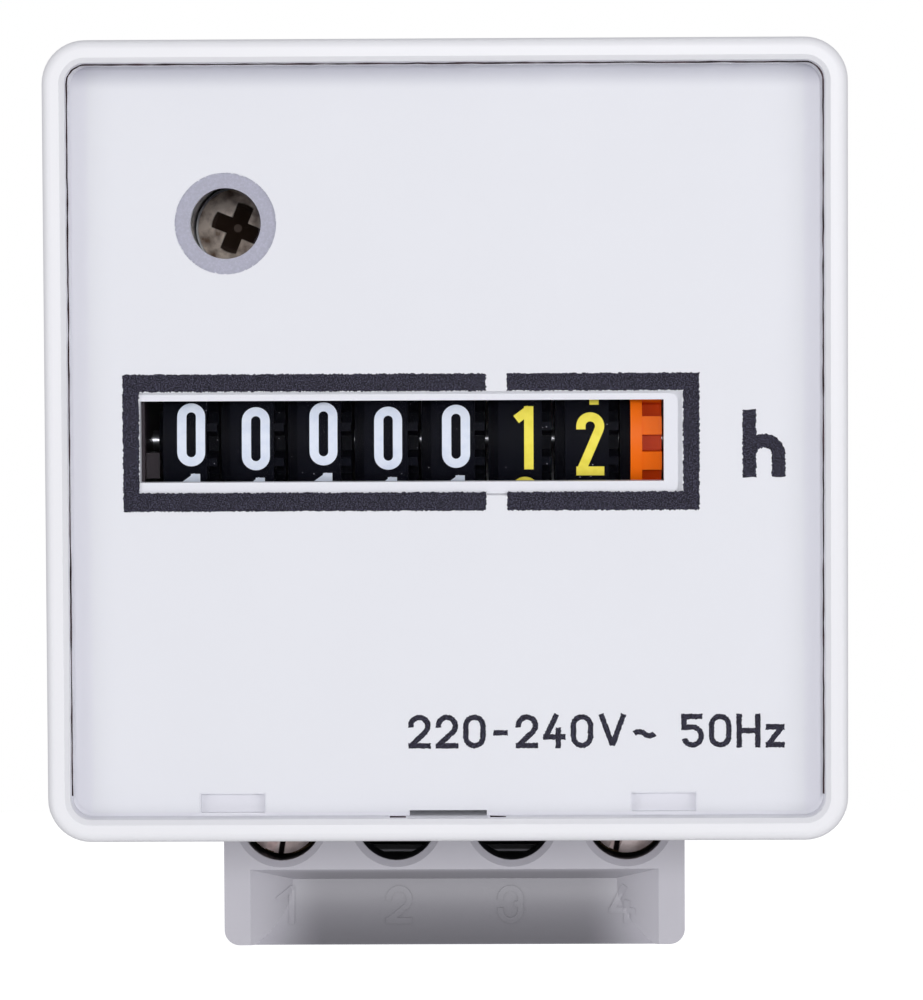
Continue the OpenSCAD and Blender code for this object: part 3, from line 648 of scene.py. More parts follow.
def deselect() -> None:
    """Leaves nothing selected, so that the next operator acts on new work only."""
    if bpy.context.mode != "OBJECT":
        bpy.ops.object.mode_set(mode="OBJECT")
    bpy.ops.object.select_all(action="DESELECT")


def pick(*pieces: Piece) -> None:
    """Selects these pieces alone and makes the first of them active."""
    deselect()
    for piece in pieces:
        piece.select_set(True)
    bpy.context.view_layer.objects.active = pieces[0]


@contextmanager
def editing(piece: Piece) -> Iterator[Piece]:
    """Holds a piece in edit mode with everything in it selected.

    Args:
        piece: The mesh object to edit.

    Yields:
        The same object.
    """
    pick(piece)
    bpy.ops.object.mode_set(mode="EDIT")
    bpy.ops.mesh.select_all(action="SELECT")
    yield piece
    bpy.ops.object.mode_set(mode="OBJECT")


def empty_piece(name: str) -> Piece:
    """Returns a new mesh object at the origin with nothing in it yet."""
    piece = bpy.data.objects.new(name, bpy.data.meshes.new(name))
    bpy.context.scene.collection.objects.link(piece)
    return piece


def keep_place(piece: Piece) -> None:
    """Moves a piece's place, turn and scale from the object into its mesh."""
    pick(piece)
    bpy.ops.object.transform_apply(location=True, rotation=True, scale=True)


def thicken(piece: Piece, thickness_mm: float) -> None:
    """Gives a sheet a wall behind its front faces.

    Args:
        piece: A mesh object whose faces point to the front.
        thickness_mm: The wall's thickness.
    """
    pick(piece)
    wall = piece.modifiers.new("wall", "SOLIDIFY")
    wall.thickness = thickness_mm * MM
    wall.offset = -1.0
    bpy.ops.object.modifier_apply(modifier=wall.name)


def cut_in_slices(
    piece: Piece, across: tuple[int, int, int], middle_mm: float, size_mm: float, slices: int
) -> None:
    """Cuts a flat piece into slices, so that it can follow a curve.

    Args:
        piece: The mesh object to cut.
        across: The direction in which the slices follow each other.
        middle_mm: The piece's middle in that direction.
        size_mm: The piece's size in that direction.
        slices: How many slices it becomes.
    """
    normal = Vector(across)
    with editing(piece):
        for cut in range(1, slices):
            bpy.ops.mesh.select_all(action="SELECT")
            place = normal * (middle_mm + size_mm * (cut / slices - 0.5)) * MM
            bpy.ops.mesh.bisect(plane_co=place, plane_no=normal)


def roughen_edges(piece: Piece, cuts: int, jitter_mm: float, seed: int) -> None:
    """Gives a flat print the ragged edge that a coarse screen leaves.

    Args:
        piece: A flat mesh object facing -Y.
        cuts: How often each edge is divided first.
        jitter_mm: How far the edge wanders.
        seed: Which random pattern it takes.
    """
    with editing(piece):
        if cuts:
            bpy.ops.mesh.subdivide(number_cuts=cuts)
        depths = [vertex.co.y for vertex in bmesh.from_edit_mesh(piece.data).verts]
        bpy.ops.mesh.select_mode(type="VERT")
        bpy.ops.mesh.select_all(action="DESELECT")
        bpy.ops.mesh.select_non_manifold(
            extend=False, use_wire=False, use_boundary=True, use_multi_face=False,
            use_non_contiguous=False, use_verts=False,
        )
        bpy.ops.transform.vertex_random(offset=jitter_mm * MM, uniform=1.0, seed=seed)
    for vertex, depth in zip(piece.data.vertices, depths):
        vertex.co.y = depth


def dress(piece: Piece, finish: Finishes, body: str) -> None:
    """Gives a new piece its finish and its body.

    Args:
        piece: The finished mesh object.
        finish: The finish that it shows.
        body: The moving body that carries it.
    """
    piece.data.materials.clear()
    piece.data.materials.append(finish.value.material())
    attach(piece, body)
    log.info("%s on %s, %d faces", piece.name, body, len(piece.data.polygons))


@dataclass(frozen=True)
class Line:
    """A straight move of the pen."""

    length: float


@dataclass(frozen=True)
class Arc:
    """A move of the pen round a circle; a positive turn goes to the left."""

    radius: float
    turn: float


@dataclass(frozen=True)
class Stroke:
    """One pen stroke in millimetres: its start, its heading in degrees and its moves."""

    x: float
    z: float
    heading: float
    moves: tuple[Union[Line, Arc], ...]

    def turned_over(self) -> "Stroke":
        """Returns the stroke turned half round about the glyph's middle."""
        return Stroke(-self.x, -self.z, self.heading + 180, self.moves)


@dataclass(frozen=True)
class Lettering:
    """Plain block figures and letters, drawn on the centreline of a pen.

    Attributes:
        width: Outer width of a full glyph.
        height: Outer height of a glyph.
        pen: Width of the pen.
    """

    width: float
    height: float
    pen: float

    @property
    def a(self) -> float:
        """Half the centreline's width."""
        return (self.width - self.pen) / 2

    @property
    def b(self) -> float:
        """Half the centreline's height."""
        return (self.height - self.pen) / 2

    def ring(self, z: float, half: float) -> Stroke:
        """Returns a closed round-cornered ring, half high on each side of z."""
        r = min(self.a, half)
        side, top = half - r, 2 * (self.a - r)
        quarter = Arc(r, -90)
        return Stroke(-self.a, z, 90, (
            Line(side), quarter, Line(top), quarter, Line(2 * side), quarter, Line(top), quarter, Line(side)
        ))

    def between(self, start: tuple[float, float], end: tuple[float, float]) -> Stroke:
        """Returns a straight stroke from one point to another."""
        dx, dz = end[0] - start[0], end[1] - start[1]
        return Stroke(*start, math.degrees(math.atan2(dz, dx)), (Line(math.hypot(dx, dz)),))

    def strokes(self, glyph: str) -> list[Stroke]:
        """Returns the strokes of one glyph.

        Args:
            glyph: One of the figures, or one of the few letters and signs that the dial uses.

        Returns:
            The glyph's strokes, centred on its middle.
        """
        return self._figure(glyph) if glyph.isdigit() else self._letter(glyph)

    def _figure(self, glyph: str) -> list[Stroke]:
        """Returns the strokes of one figure, from 0 to 9."""
        a, b, p = self.a, self.b, self.pen / 2
        hook = 0.12 * b
        bowl = min(a, 0.6 * b)
        if glyph == "0":
            return [self.ring(0, b)]
        if glyph == "1":
            stem = 0.42 * a
            return [
                self.between((stem, b + p), (stem, -b - p)),
                self.between((stem + 0.3 * p, b + 0.35 * p), (stem - 1.35 * a, b - 0.95 * a)),
            ]
        if glyph == "2":
            lean = 2 * math.degrees(math.atan(a / (2 * b - a)))
            return [
                Stroke(-a, b - a - hook, 90, (Line(hook), Arc(a, -180 - lean), Line(2 * b - a))),
                self.between((-a - p, -b), (a + p, -b)),
            ]
        if glyph == "3":
            waist = 0.7 * min(a, b - a)
            upper = (Line(hook), Arc(a, -180), Line(b - a - waist), Arc(waist, -90), Line(p))
            lower = (Line(hook), Arc(a, 180), Line(b - a - waist), Arc(waist, 90), Line(p))
            return [Stroke(-a, b - a - hook, 90, upper), Stroke(-a, -b + a + hook, 270, lower)]
        if glyph == "4":
            bar = -0.4 * b
            return [
                self.between((0.25 * a, b + p), (-a, bar)),
                self.between((-a - p, bar), (a + p, bar)),
                self.between((0.45 * a, 0.25 * b), (0.45 * a, -b - p)),
            ]
        if glyph == "5":
            low = (
                Line(2 * a - bowl), Arc(bowl, -90), Line(1.25 * b - 2 * bowl), Arc(bowl, -90),
                Line(2 * (a - bowl)), Arc(bowl, -75),
            )
            return [
                self.between((a + 0.5 * p, b), (-a - p, b)),
                self.between((-a, b), (-a, 0.25 * b - p)),
                Stroke(-a, 0.25 * b, 0, low),
            ]
        if glyph in "69":
            six = [
                self.ring(-0.4 * b, 0.6 * b),
                Stroke(-a, -0.4 * b, 90, (Line(1.4 * b - a), Arc(a, -150))),
            ]
            return six if glyph == "6" else [stroke.turned_over() for stroke in six]
        if glyph == "7":
            return [
                self.between((-a - p, b), (a + p, b)),
                self.between((a, b), (-0.35 * a, -b - p)),
            ]
        return [self.ring(0.5 * b, 0.5 * b), self.ring(-0.5 * b, 0.5 * b)]

    def _letter(self, glyph: str) -> list[Stroke]:
        """Returns the strokes of one of the letters and signs that the dial uses."""
        a, b, p = self.a, self.b, self.pen / 2
        if glyph == "h":
            arch = 0.1 * b
            return [
                self.between((-a, b + p), (-a, -b - p)),
                Stroke(-a, arch - a, 90, (Arc(a, -180), Line(arch - a + b + p))),
            ]
        if glyph == "V":
            return [
                self.between((-a, b + p), (0, -b)),
                self.between((a, b + p), (0, -b)),
            ]
        if glyph == "H":
            return [
                self.between((-a, b + p), (-a, -b - p)),
                self.between((a, b + p), (a, -b - p)),
                self.between((-a, 0), (a, 0)),
            ]
        if glyph == "z":
            top = 0.25 * b
            return [
                self.between((-a - p, top), (a + p, top)),
                self.between((a, top), (-a, -b)),
                self.between((-a - p, -b), (a + p, -b)),
            ]
        if glyph == "~":
            wave = a / math.sin(math.radians(45)) / 2
            return [Stroke(-a, -0.2 * b, 45, (Arc(wave, -90), Arc(wave, 90)))]
        if glyph == "-":
            return [self.between((-a, -0.1 * b), (a, -0.1 * b))]
        raise ValueError(f"no strokes for {glyph!r}")


@dataclass
class Pen:
    """Draws strokes as flat ribbons that face -Y, by extruding and spinning the pen's own edge.

    Attributes:
        width: The pen's width.
        step_deg: How far an arc turns from one edge to the next.
        step_mm: How far a straight move goes from one edge to the next at most.
        lift: How much higher each stroke lies than the one before, so that crossings don't share a face.
        merge: Points that are closer than this count as one.
    """

    width: float
    step_deg: float = 11.25
    step_mm: float = 10.0
    lift: float = 0.002
    merge: float = 0.0005

    def draw(self, name: str, strokes: list[Stroke], at: tuple[float, float] = (0.0, 0.0)) -> Piece:
        """Draws strokes into a new piece.

        Args:
            name: The piece's name.
            strokes: The strokes to draw.
            at: Where the strokes' own middle goes, as x and z.

        Returns:
            A flat mesh object at y = 0, with its faces to the front.
        """
        piece = empty_piece(name)
        with editing(piece):
            for rank, stroke in enumerate(strokes):
                self._draw_stroke(piece, stroke, at)
                bpy.ops.mesh.select_linked()
                bpy.ops.transform.translate(value=(0, -rank * self.lift * MM, 0))
            bpy.ops.mesh.select_all(action="SELECT")
            bpy.ops.mesh.remove_doubles(threshold=self.merge * MM)
            self._face_front(piece)
        return piece

    def _draw_stroke(self, piece: Piece, stroke: Stroke, at: tuple[float, float]) -> None:
        """Starts with the pen's edge and carries it along the stroke's moves."""
        x, z, heading = stroke.x + at[0], stroke.z + at[1], stroke.heading
        self._start_edge(piece, x, z, heading)
        for move in stroke.moves:
            turn = math.radians(heading)
            if isinstance(move, Line):
                dx, dz = move.length * math.cos(turn), move.length * math.sin(turn)
                steps = math.ceil(move.length / self.step_mm) if move.length > self.merge else 0
                for _ in range(steps):
                    bpy.ops.mesh.extrude_region_move(
                        TRANSFORM_OT_translate={"value": (dx / steps * MM, 0, dz / steps * MM)}
                    )
                x, z = x + dx, z + dz
            else:
                side = math.copysign(90, move.turn)
                out = math.radians(heading + side)
                cx, cz = x + move.radius * math.cos(out), z + move.radius * math.sin(out)
                bpy.ops.mesh.spin(
                    steps=max(2, round(abs(move.turn) / self.step_deg)),
                    angle=math.radians(move.turn), center=(cx * MM, 0, cz * MM), axis=(0, 1, 0),
                )
                heading += move.turn
                back = math.radians(heading - side)
                x, z = cx + move.radius * math.cos(back), cz + move.radius * math.sin(back)

    def _start_edge(self, piece: Piece, x: float, z: float, heading: float) -> None:
        """Adds a plane behind the start point and keeps only its leading edge."""
        turn = math.radians(heading)
        ahead = Vector((math.cos(turn), 0, math.sin(turn)))
        start = Vector((x, 0, z)) * MM
        middle = start - ahead * (self.width / 2 * MM)
        bpy.ops.mesh.select_all(action="DESELECT")
        bpy.ops.mesh.primitive_plane_add(
            size=self.width * MM, location=middle, rotation=(math.pi / 2, -turn, 0)
        )
        mesh = bmesh.from_edit_mesh(piece.data)
        for vertex in [v for v in mesh.verts if v.select]:
            vertex.select = (vertex.co - middle).dot(ahead) < 0
        mesh.select_flush_mode()
        bmesh.update_edit_mesh(piece.data)
        bpy.ops.mesh.delete(type="VERT")
        mesh = bmesh.from_edit_mesh(piece.data)
        side = Vector((-ahead.z, 0, ahead.x)) * (self.width / 2 * MM)
        for vertex in [v for v in mesh.verts if not v.link_faces]:
            away = min((vertex.co - start - side).length, (vertex.co - start + side).length)
            vertex.select = away < self.merge * MM
        mesh.select_flush(True)
        bmesh.update_edit_mesh(piece.data)

    @staticmethod
    def _face_front(piece: Piece) -> None:
        """Turns round the faces that look away from the front."""
        bpy.ops.mesh.select_mode(type="FACE")
        mesh = bmesh.from_edit_mesh(piece.data)
        for face in mesh.faces:
            face.normal_update()
            face.select = face.normal.y > 0
        bmesh.update_edit_mesh(piece.data)
        bpy.ops.mesh.flip_normals()
        bpy.ops.mesh.select_mode(type="VERT")


@dataclass
class DialPrint:
    """What is printed on the dial: the border round the counter, the unit and the rating, and a grey ring of
    painted shade round the driver hole.

    Attributes:
        left, right, top, bottom: Outer edges of the border.
        side_w, top_w, bottom_w: Widths of the border's bars.
        gap_left, gap_right: Ends of the gap that parts the whole hours from their fractions.
        cell: Size of the border's finest steps.
        jitter, fine_jitter: How far the edges of the border and the unit wander, and those of the rating.
        ink_t: Thickness of the ink.
        unit, unit_at: Size and middle of the unit letter.
        rating, rating_start, rating_z: The supply rating, its left end and its height.
        rating_h, rating_pen, rating_gap: Size of its glyphs, their pen and the gap between them.
        figure_w, sign_w: Widths of its figures and of its other glyphs.
        ring_at, ring_r, hole_r: Middle of the ring round the driver hole, and its outer and inner radius.
        ring_points, ring_wander: How many points its outer edge has, and the least and most they stray.
        ring_t: Thickness of the ring.
        border_seed, unit_seed, ring_seed: The random patterns that their edges take.
    """

    left: float = -19.46
    right: float = 15.19
    top: float = 4.01
    bottom: float = -4.24
    side_w: float = 1.0
    top_w: float = 1.08
    bottom_w: float = 1.1
    gap_left: float = 2.37
    gap_right: float = 3.63
    cell: float = 0.07
    jitter: float = 0.045
    fine_jitter: float = 0.027
    ink_t: float = 0.02
    unit: Lettering = Lettering(2.57, 4.05, 0.82)
    unit_at: tuple[float, float] = (19.06, -0.26)
    rating: str = "220-240V~ 50Hz"
    rating_start: float = -2.4
    rating_z: float = -17.57
    rating_h: float = 2.05
    rating_pen: float = 0.33
    rating_gap: float = 0.3
    figure_w: float = 1.36
    sign_w: dict[str, float] = field(
        default_factory=lambda: {"-": 1.2, "V": 1.7, "~": 1.55, "H": 1.45, "z": 1.15, " ": 0.85}
    )
    ring_at: tuple[float, float] = (-13.2, 13.06)
    ring_r: float = 3.05
    hole_r: float = 2.12
    ring_points: int = 384
    ring_wander: tuple[float, float] = (-0.025, 0.04)
    ring_t: float = 0.015
    border_seed: int = 3
    unit_seed: int = 5
    ring_seed: int = 7

    def build(self) -> None:
        """Makes every printed piece on the front of the dial sheet, and the ring of painted shade round the
        driver hole.
        """
        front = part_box("dial")[0].y
        for piece in (self.border(), self.unit_letter(), *self.rating_line()):
            piece.data.transform(Matrix.Translation((0, front, 0)))
            thicken(piece, self.ink_t / 2)
            piece.data.transform(Matrix.Translation((0, -self.ink_t / 2 * MM, 0)))
            dress(piece, Finishes.DIAL_INK, CASE)
        self.bare_ring()

    def border(self) -> Piece:
        """Returns the border: a fine grid with its middle and its gap taken out."""
        w, h = self.right - self.left, self.top - self.bottom
        deselect()
        bpy.ops.mesh.primitive_grid_add(
            x_subdivisions=round(w / self.cell), y_subdivisions=round(h / self.cell), size=1,
            location=((self.left + w / 2) * MM, 0, (self.bottom + h / 2) * MM), rotation=(math.pi / 2, 0, 0),
        )
        piece = bpy.context.object
        piece.name = piece.data.name = "counter_border"
        piece.scale = (w * MM, h * MM, 1)
        keep_place(piece)
        with editing(piece):
            bpy.ops.mesh.select_mode(type="FACE")
            mesh = bmesh.from_edit_mesh(piece.data)
            for face in mesh.faces:
                at = face.calc_center_median() / MM
                inside_x = self.left + self.side_w < at.x < self.right - self.side_w
                inside_z = self.bottom + self.bottom_w < at.z < self.top - self.top_w
                face.select = (inside_x and inside_z) or self.gap_left < at.x < self.gap_right
            bmesh.update_edit_mesh(piece.data)
            bpy.ops.mesh.delete(type="FACE")
        roughen_edges(piece, cuts=0, jitter_mm=self.jitter, seed=self.border_seed)
        return piece

    def unit_letter(self) -> Piece:
        """Returns the unit letter for hours."""
        pen = Pen(self.unit.pen, step_mm=0.2)
        piece = pen.draw("unit_letter", self.unit.strokes("h"), self.unit_at)
        roughen_edges(piece, cuts=2, jitter_mm=self.jitter, seed=self.unit_seed)
        return piece

    def rating_line(self) -> list[Piece]:
        """Returns a plain supply rating, one piece for each glyph."""
        pieces = []
        x = self.rating_start
        for rank, glyph in enumerate(self.rating):
            width = self.sign_w.get(glyph, self.figure_w)
            if glyph != " ":
                strokes = Lettering(width, self.rating_h, self.rating_pen).strokes(glyph)
                pen = Pen(self.rating_pen, step_deg=15, step_mm=0.2)
                piece = pen.draw(f"rating_{rank + 1}", strokes, (x + width / 2, self.rating_z))
                roughen_edges(piece, cuts=2, jitter_mm=self.fine_jitter, seed=rank)
                pieces.append(piece)
            x += width + self.rating_gap
        return pieces

    def bare_ring(self) -> None:
        """Makes a grey ring of painted shade round the driver hole, where the window is left without white
        and the carrier behind it lies in shade.
        """
        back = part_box("dial")[1].y
        middle = Vector((self.ring_at[0], 0, self.ring_at[1])) * MM
        deselect()
        bpy.ops.mesh.primitive_circle_add(
            vertices=self.ring_points, radius=self.ring_r * MM, fill_type="NGON", location=middle,
            rotation=(math.pi / 2, 0, 0),
        )
        piece = bpy.context.object
        piece.name = piece.data.name = "driver_hole_shade_ring"
        keep_place(piece)
        with editing(piece):
            bpy.ops.mesh.inset(thickness=(self.ring_r - self.hole_r) * MM, depth=0)
            bpy.ops.mesh.delete(type="FACE")
        wander = random.Random(self.ring_seed)
        for vertex in piece.data.vertices:
            if (vertex.co - middle).length > (self.ring_r + self.hole_r) / 2 * MM:
                vertex.co = middle + (vertex.co - middle) * (1 + wander.uniform(*self.ring_wander))
        piece.data.transform(Matrix.Translation((0, back - self.ink_t * MM, 0)))
        thicken(piece, self.ring_t)
        # The ring's grey is painted shade for the shaded carrier behind the clear ring.
        dress(piece, Finishes.BARE_RING, CASE)


@dataclass
class WindowSeam:
    """A dark strip of painted shade in the seam between the window and the bezel, and in the two slits beside
    the pry notch.

    Attributes:
        corner: Radius of the window's corners.
        width, inset: Width of the seam, and how far inside the window's edge its middle runs.
        lower_end: Height at which the seam's sides end.
        slit_start, slit_end: Distances from the middle to the ends of a slit.
        jitter, seed: How far the strip's edge wanders, and the random pattern that it takes.
        dust_t, lift: Thickness of the strip, and how far it stands in front of the window.
    """

    corner: float = 1.12
    width: float = 0.09
    inset: float = 0.03
    lower_end: float = -21.2
    slit_start: float = 2.53
    slit_end: float = 3.49
    jitter: float = 0.02
    seed: int = 11
    dust_t: float = 0.01
    lift: float = 0.02

    def build(self) -> None:
        """Lays the strip of painted shade just in front of the window's edge."""
        low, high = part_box("window")
        edge = high.x / MM - self.inset
        side, top = edge - self.corner - self.lower_end, 2 * (edge - self.corner)
        turn = Arc(self.corner, -90)
        strokes = [Stroke(-edge, self.lower_end, 90, (Line(side), turn, Line(top), turn, Line(side)))]
        slit = (Line(self.slit_end - self.slit_start),)
        strokes += [Stroke(start, -edge, 0, slit) for start in (-self.slit_end, self.slit_start)]
        piece = Pen(self.width, step_deg=9.0, step_mm=0.8).draw("window_seam", strokes)
        roughen_edges(piece, cuts=0, jitter_mm=self.jitter, seed=self.seed)
        thicken(piece, self.dust_t)
        piece.data.transform(Matrix.Translation((0, low.y - self.lift * MM, 0)))
        # The strip's dark is painted shade for the seam's gap and the slits.
        dress(piece, Finishes.SEAM_DUST, CASE)


@dataclass
class NumberDrums:
    """The figures printed round the seven drums.

    Attributes:
        names: The drums from left to right.
        places: How many figures go round a drum.
        shown: The figure that each drum shows.
        rise: How far each shown figure stands above the drum's axis.
        aside: How far each drum's figures stand to the right of its middle.
        first_fraction: The place of the first drum with yellow figures.
        radius: The drums' radius.
        figures: Size of the figures.
        slices: How many slices a figure is cut into.
        ink_t: Thickness of the ink.
        glyphs: The figures' meshes, while they are being copied.
    """

    names: tuple[str, ...] = (
        "ten_thousands", "thousands", "hundreds", "tens", "units", "tenths", "hundredths"
    )
    places: int = 10
    shown: tuple[int, ...] = (0, 0, 0, 0, 0, 1, 2)
    rise: tuple[float, ...] = (0.63, 0.37, 0.655, 0.37, 0.47, 0.36, -0.035)
    aside: tuple[float, ...] = (0.38, 0.24, 0.28, 0.14, 0.19, 0.3, 0.2)
    first_fraction: int = 5
    radius: float = 6.9
    figures: Lettering = Lettering(1.69, 3.86, 0.56)
    slices: int = 16
    ink_t: float = 0.02
    glyphs: list[bpy.types.Mesh] = field(default_factory=list)

    def build(self) -> None:
        """Draws the figures once and lays a copy of each round every drum."""
        self.draw_figures()
        for rank, name in enumerate(self.names):
            self.print_drum(rank, name)
        for mesh in self.glyphs:
            bpy.data.meshes.remove(mesh)

    def draw_figures(self) -> None:
        """Draws the figures flat, cut into slices that can follow the drum's curve."""
        for figure in range(self.places):
            piece = Pen(self.figures.pen).draw(f"figure_{figure}", self.figures.strokes(str(figure)))
            cut_in_slices(piece, (0, 0, 1), 0, self.figures.height, self.slices)
            thicken(piece, self.ink_t)
            self.glyphs.append(piece.data)
            bpy.data.objects.remove(piece)

    def print_drum(self, rank: int, name: str) -> None:
        """Lays the figures round one drum, each a place below the one before.

        Args:
            rank: The drum's place from the left.
            name: The drum's name.
        """
        joint = next(j for j in frame["joints"] if j["child"] == f"{name}_drum")
        axis = Vector(joint["pos_m"]) / MM
        low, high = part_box(f"drum_{name}")
        middle = (low.x + high.x) / 2 / MM + self.aside[rank]
        pieces = []
        for figure, glyph in enumerate(self.glyphs):
            piece = bpy.data.objects.new(f"figures_{name}", glyph.copy())
            bpy.context.scene.collection.objects.link(piece)
            below = (figure - self.shown[rank]) % self.places
            turn = math.asin(self.rise[rank] / self.radius) - math.tau * below / self.places
            for vertex in piece.data.vertices:
                x, y, z = vertex.co / MM
                angle = turn + z / self.radius
                reach = self.radius + self.ink_t / 2 - y
                vertex.co = Vector((
                    middle + x, axis.y - reach * math.cos(angle), axis.z + reach * math.sin(angle)
                )) * MM
            pieces.append(piece)
        pick(*pieces)
        bpy.ops.object.join()
        printed = bpy.context.object
        printed.name = printed.data.name = f"figures_{name}"
        ink = Finishes.DIGIT_YELLOW if rank >= self.first_fraction else Finishes.DIGIT_WHITE
        dress(printed, ink, f"{name}_drum")


@dataclass
class TerminalNumbers:
    """The numbers moulded into the scooped recess under the terminals.

    Attributes:
        count, pitch: How many terminals there are, and the distance from one to the next.
        letters: Size of the numbers.
        z: Height of the numbers' middles.
        scoop_r, scoop_z, floor_y: Radius of the recess's floor, and where it is deepest.
        wall_x, wall_slope: Where the recess's end walls leave the floor, and how they come forward.
        relief, root: How far the numbers stand out and how far they go into the block.
        slices, columns: How many pieces a number is cut into from top to bottom and from side to side.
    """

    count: int = 4
    pitch: float = 7.3
    letters: Lettering = Lettering(1.7, 2.4, 0.36)
    z: float = -31.5
    scoop_r: float = 5.816
    scoop_z: float = -29.85
    floor_y: float = -14.1
    wall_x: float = 10.6
    wall_slope: float = 1.9 / 2.7
    relief: float = 0.08
    root: float = 0.05
    slices: int = 10
    columns: int = 6

    def surface_y(self, x: float, z: float) -> float:
        """Returns the depth of the recess's surface at a place on the block's front."""
        floor = self.floor_y - self.scoop_r + math.sqrt(self.scoop_r ** 2 - (z - self.scoop_z) ** 2)
        wall = self.floor_y - (abs(x) - self.wall_x) * self.wall_slope
        return min(floor, wall)

    def build(self) -> None:
        """Makes the raised numbers and lays each on the recess's surface."""
        for number in range(1, self.count + 1):
            x = (number - (self.count + 1) / 2) * self.pitch
            strokes = self.letters.strokes(str(number))
            piece = Pen(self.letters.pen).draw(f"terminal_number_{number}", strokes, (x, self.z))
            cut_in_slices(piece, (0, 0, 1), self.z, self.letters.height, self.slices)
            cut_in_slices(piece, (1, 0, 0), x, self.letters.width, self.columns)
            thicken(piece, self.relief + self.root)
            for vertex in piece.data.vertices:
                at = vertex.co / MM
                vertex.co.y += (self.surface_y(at.x, at.z) - self.relief) * MM
            dress(piece, Finishes.GREY_ABS, CASE)


@dataclass
class Solids:
    """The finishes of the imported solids.

    Attributes:
        groups: The nodes that share a finish, by that finish; a star stands for the rest of a name.
    """

    groups: dict[Finishes, tuple[str, ...]] = field(default_factory=lambda: {
        Finishes.WHITE_ABS: ("housing", "rear_cover"),
        Finishes.CARRIER_ABS: ("carrier",),
        Finishes.GREY_ABS: ("socket_base", "base_cover"),
        Finishes.CLEAR: ("window",),
        Finishes.DIAL_SHEET: ("dial",),
        Finishes.ORANGE_ABS: ("run_indicator",),
        Finishes.BROWN_ABS: ("counter_bracket",),
        Finishes.SCREW_NICKEL: ("fixing_screw",),
        Finishes.TERMINAL_NICKEL: ("terminal_screws",),
        Finishes.PLATED_STEEL: (
            "drum_shaft", "pinion_shaft", "train_pins", "rotor_shaft", "motor_can", "motor_cover",
        ),
        Finishes.BRASS: ("gear_plate", "final_wheel", "second_wheel", "plug_blades", "threaded_insert"),
        Finishes.DULL_BRASS: ("contact_strips", "wire_clamps"),
        Finishes.COPPER: ("coil_winding",),
        Finishes.BOBBIN_NYLON: ("coil_bobbin",),
        Finishes.FERRITE: ("rotor_magnet",),
        Finishes.BLACK_ABS: ("drive_flange", "drum_*"),
        Finishes.GEAR_ACETAL: ("first_wheel", "pinion_*"),
    })

    def finish_of(self, node: str) -> Finish:
        """Returns the finish of the first group whose names take in a node."""
        return next(
            finish.value for finish, names in self.groups.items()
            if any(fnmatchcase(node, name) for name in names)
        )

    def build(self) -> None:
        """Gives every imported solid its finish."""
        for node, solid in frame["nodes"].items():
            finish = self.finish_of(node)
            solid.data.materials.clear()
            solid.data.materials.append(finish.material())
            log.info("%s is %s", node, finish.name)


@dataclass(frozen=True)
class Lamp:
    """A square soft lamp that faces the meter.

    Attributes:
        name: The lamp's name.
        at: Its place.
        side: The length of its side.
        watts: Its power.
        aim: The place that it faces.
    """

    name: str
    at: tuple[float, float, float]
    side: float
    watts: float
    aim: tuple[float, float, float] = (0.0, -30.0, 0.0)

    def build(self) -> None:
        """Hangs the lamp in its place."""
        light = bpy.data.lights.new(self.name, "AREA")
        light.shape = "SQUARE"
        light.size = self.side * MM
        light.energy = self.watts
        lamp = bpy.data.objects.new(self.name, light)
        bpy.context.scene.collection.objects.link(lamp)
        lamp.location = Vector(self.at) * MM
        lamp.rotation_mode = "QUATERNION"
        lamp.rotation_quaternion = (Vector(self.aim) - Vector(self.at)).to_track_quat("-Z", "Y")


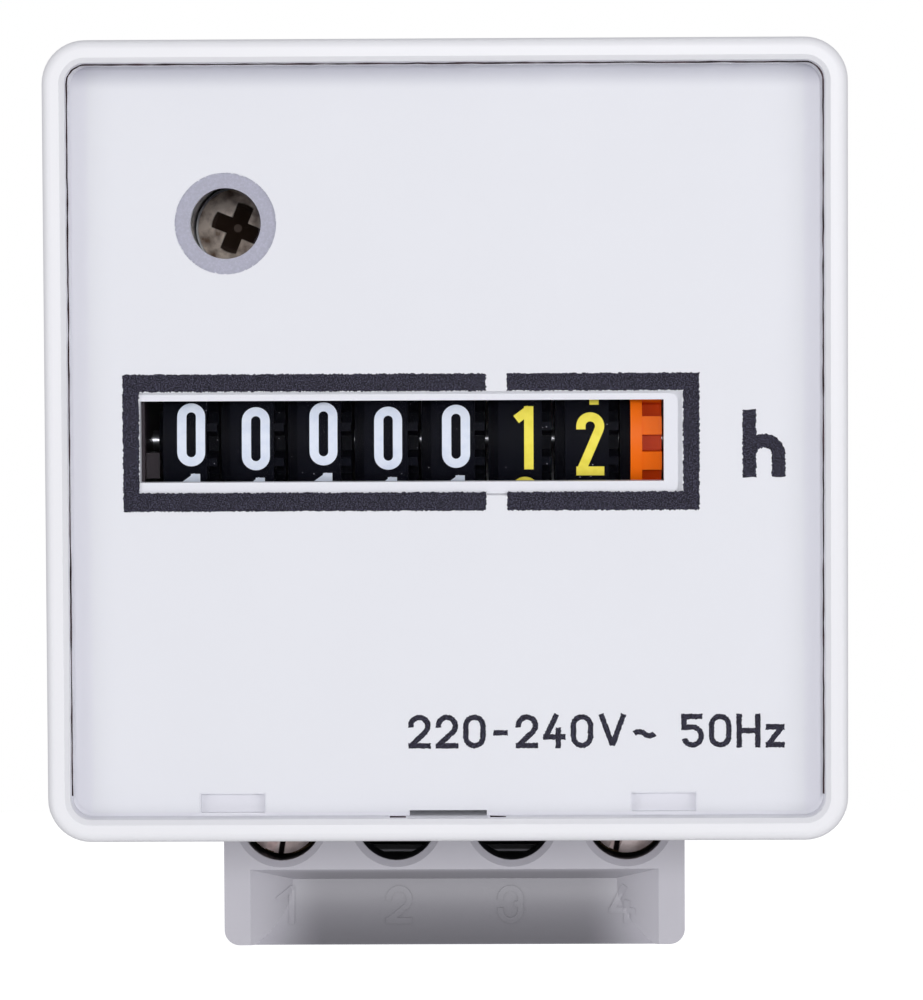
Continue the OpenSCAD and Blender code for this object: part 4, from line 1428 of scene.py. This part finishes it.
@dataclass
class Studio:
    """Pale floor, soft lamps and the camera of a product shot.

    Attributes:
        eye: The camera's place.
        yaw_deg, pitch_deg, roll_deg: How far it looks to the left, looks down and leans.
        focal_px, long_side_px: Focal length and the picture's long side in pixels.
        sensor, clip: Width of the sensor, and the nearest that the camera sees.
        floor_z, floor_side: Height of the floor and length of its sides.
        floor_tone, floor_glow: The floor's colour, and how far it glows where the camera sees it.
        world_tone, world_light: Colour and strength of the light from all round.
        lamps: The soft lamps in front of the meter.
    """

    eye: tuple[float, float, float] = (4.73, -342.0, 13.06)
    yaw_deg: float = 0.729
    pitch_deg: float = 3.156
    roll_deg: float = 0.27
    focal_px: float = 5034.0
    long_side_px: float = 1000.0
    sensor: float = 36.0
    clip: float = 10.0
    floor_z: float = -380.0
    floor_side: float = 6000.0
    floor_tone: str = "#d9d9d9"
    floor_glow: float = 0.8
    world_tone: str = "#fbfbff"
    world_light: float = 0.47
    lamps: tuple[Lamp, ...] = (
        Lamp("left_lamp", (-430, -560, -60), 420, 0.88),
        Lamp("right_lamp", (430, -560, -60), 420, 1.02),
        Lamp("front_lamp", (25, -600, 72), 60, 0.78),
    )

    def build(self) -> None:
        """Makes the camera, the floor, the world and the lamps."""
        self.camera()
        self.floor()
        self.world()
        for lamp in self.lamps:
            lamp.build()
        bpy.context.scene.view_settings.view_transform = "Standard"

    def camera(self) -> None:
        """Makes the camera at the picture's viewpoint."""
        lens = bpy.data.cameras.new("camera")
        lens.sensor_width = self.sensor
        lens.lens = self.focal_px / self.long_side_px * self.sensor
        lens.clip_start = self.clip * MM
        lens.dof.use_dof = False
        camera = bpy.data.objects.new("camera", lens)
        bpy.context.scene.collection.objects.link(camera)
        turn = Matrix.Rotation(math.radians(self.yaw_deg), 4, "Z")
        tilt = Matrix.Rotation(math.radians(90 - self.pitch_deg), 4, "X")
        lean = Matrix.Rotation(math.radians(-self.roll_deg), 4, "Z")
        camera.matrix_world = Matrix.Translation(Vector(self.eye) * MM) @ turn @ tilt @ lean
        bpy.context.scene.camera = camera

    def floor(self) -> None:
        """Makes a wide pale floor that keeps the object's shadow and is white round it."""
        deselect()
        bpy.ops.mesh.primitive_plane_add(size=self.floor_side * MM, location=(0, 0, self.floor_z * MM))
        piece = bpy.context.object
        piece.name = piece.data.name = "floor"
        keep_place(piece)
        paint = bpy.data.materials.new("pale_floor")
        paint.use_nodes = True
        tree = paint.node_tree
        tree.nodes.clear()
        matt = add_node(tree, "ShaderNodeBsdfDiffuse", {"Color": linear(self.floor_tone)})
        glow = add_node(tree, "ShaderNodeEmission", {"Strength": self.floor_glow})
        lit = add_node(tree, "ShaderNodeAddShader", links={0: matt, 1: glow})
        seen = add_node(tree, "ShaderNodeLightPath").outputs["Is Camera Ray"]
        mix = add_node(tree, "ShaderNodeMixShader", links={0: seen, 1: matt, 2: lit})
        add_node(tree, "ShaderNodeOutputMaterial", links={"Surface": mix})
        piece.data.materials.append(paint)

    def world(self) -> None:
        """Makes an even world that is white where it is seen."""
        world = bpy.data.worlds.new("studio_world")
        bpy.context.scene.world = world
        world.use_nodes = True
        tree = world.node_tree
        tree.nodes.clear()
        tone = {"Color": linear(self.world_tone), "Strength": self.world_light}
        light = add_node(tree, "ShaderNodeBackground", tone)
        white = add_node(tree, "ShaderNodeBackground", {"Color": linear("#ffffff"), "Strength": 1.0})
        seen = add_node(tree, "ShaderNodeLightPath").outputs["Is Camera Ray"]
        mix = add_node(tree, "ShaderNodeMixShader", links={0: seen, 1: light, 2: white})
        add_node(tree, "ShaderNodeOutputWorld", links={"Surface": mix})


def main() -> None:
    """Builds the studio, the finishes and the printed and moulded pieces."""
    logging.basicConfig(level=logging.INFO, format="%(name)s: %(message)s")
    for part in (Studio(), Solids(), DialPrint(), WindowSeam(), NumberDrums(), TerminalNumbers()):
        log.info("building %s", type(part).__name__)
        part.build()


if __name__ == "__main__":
    main()
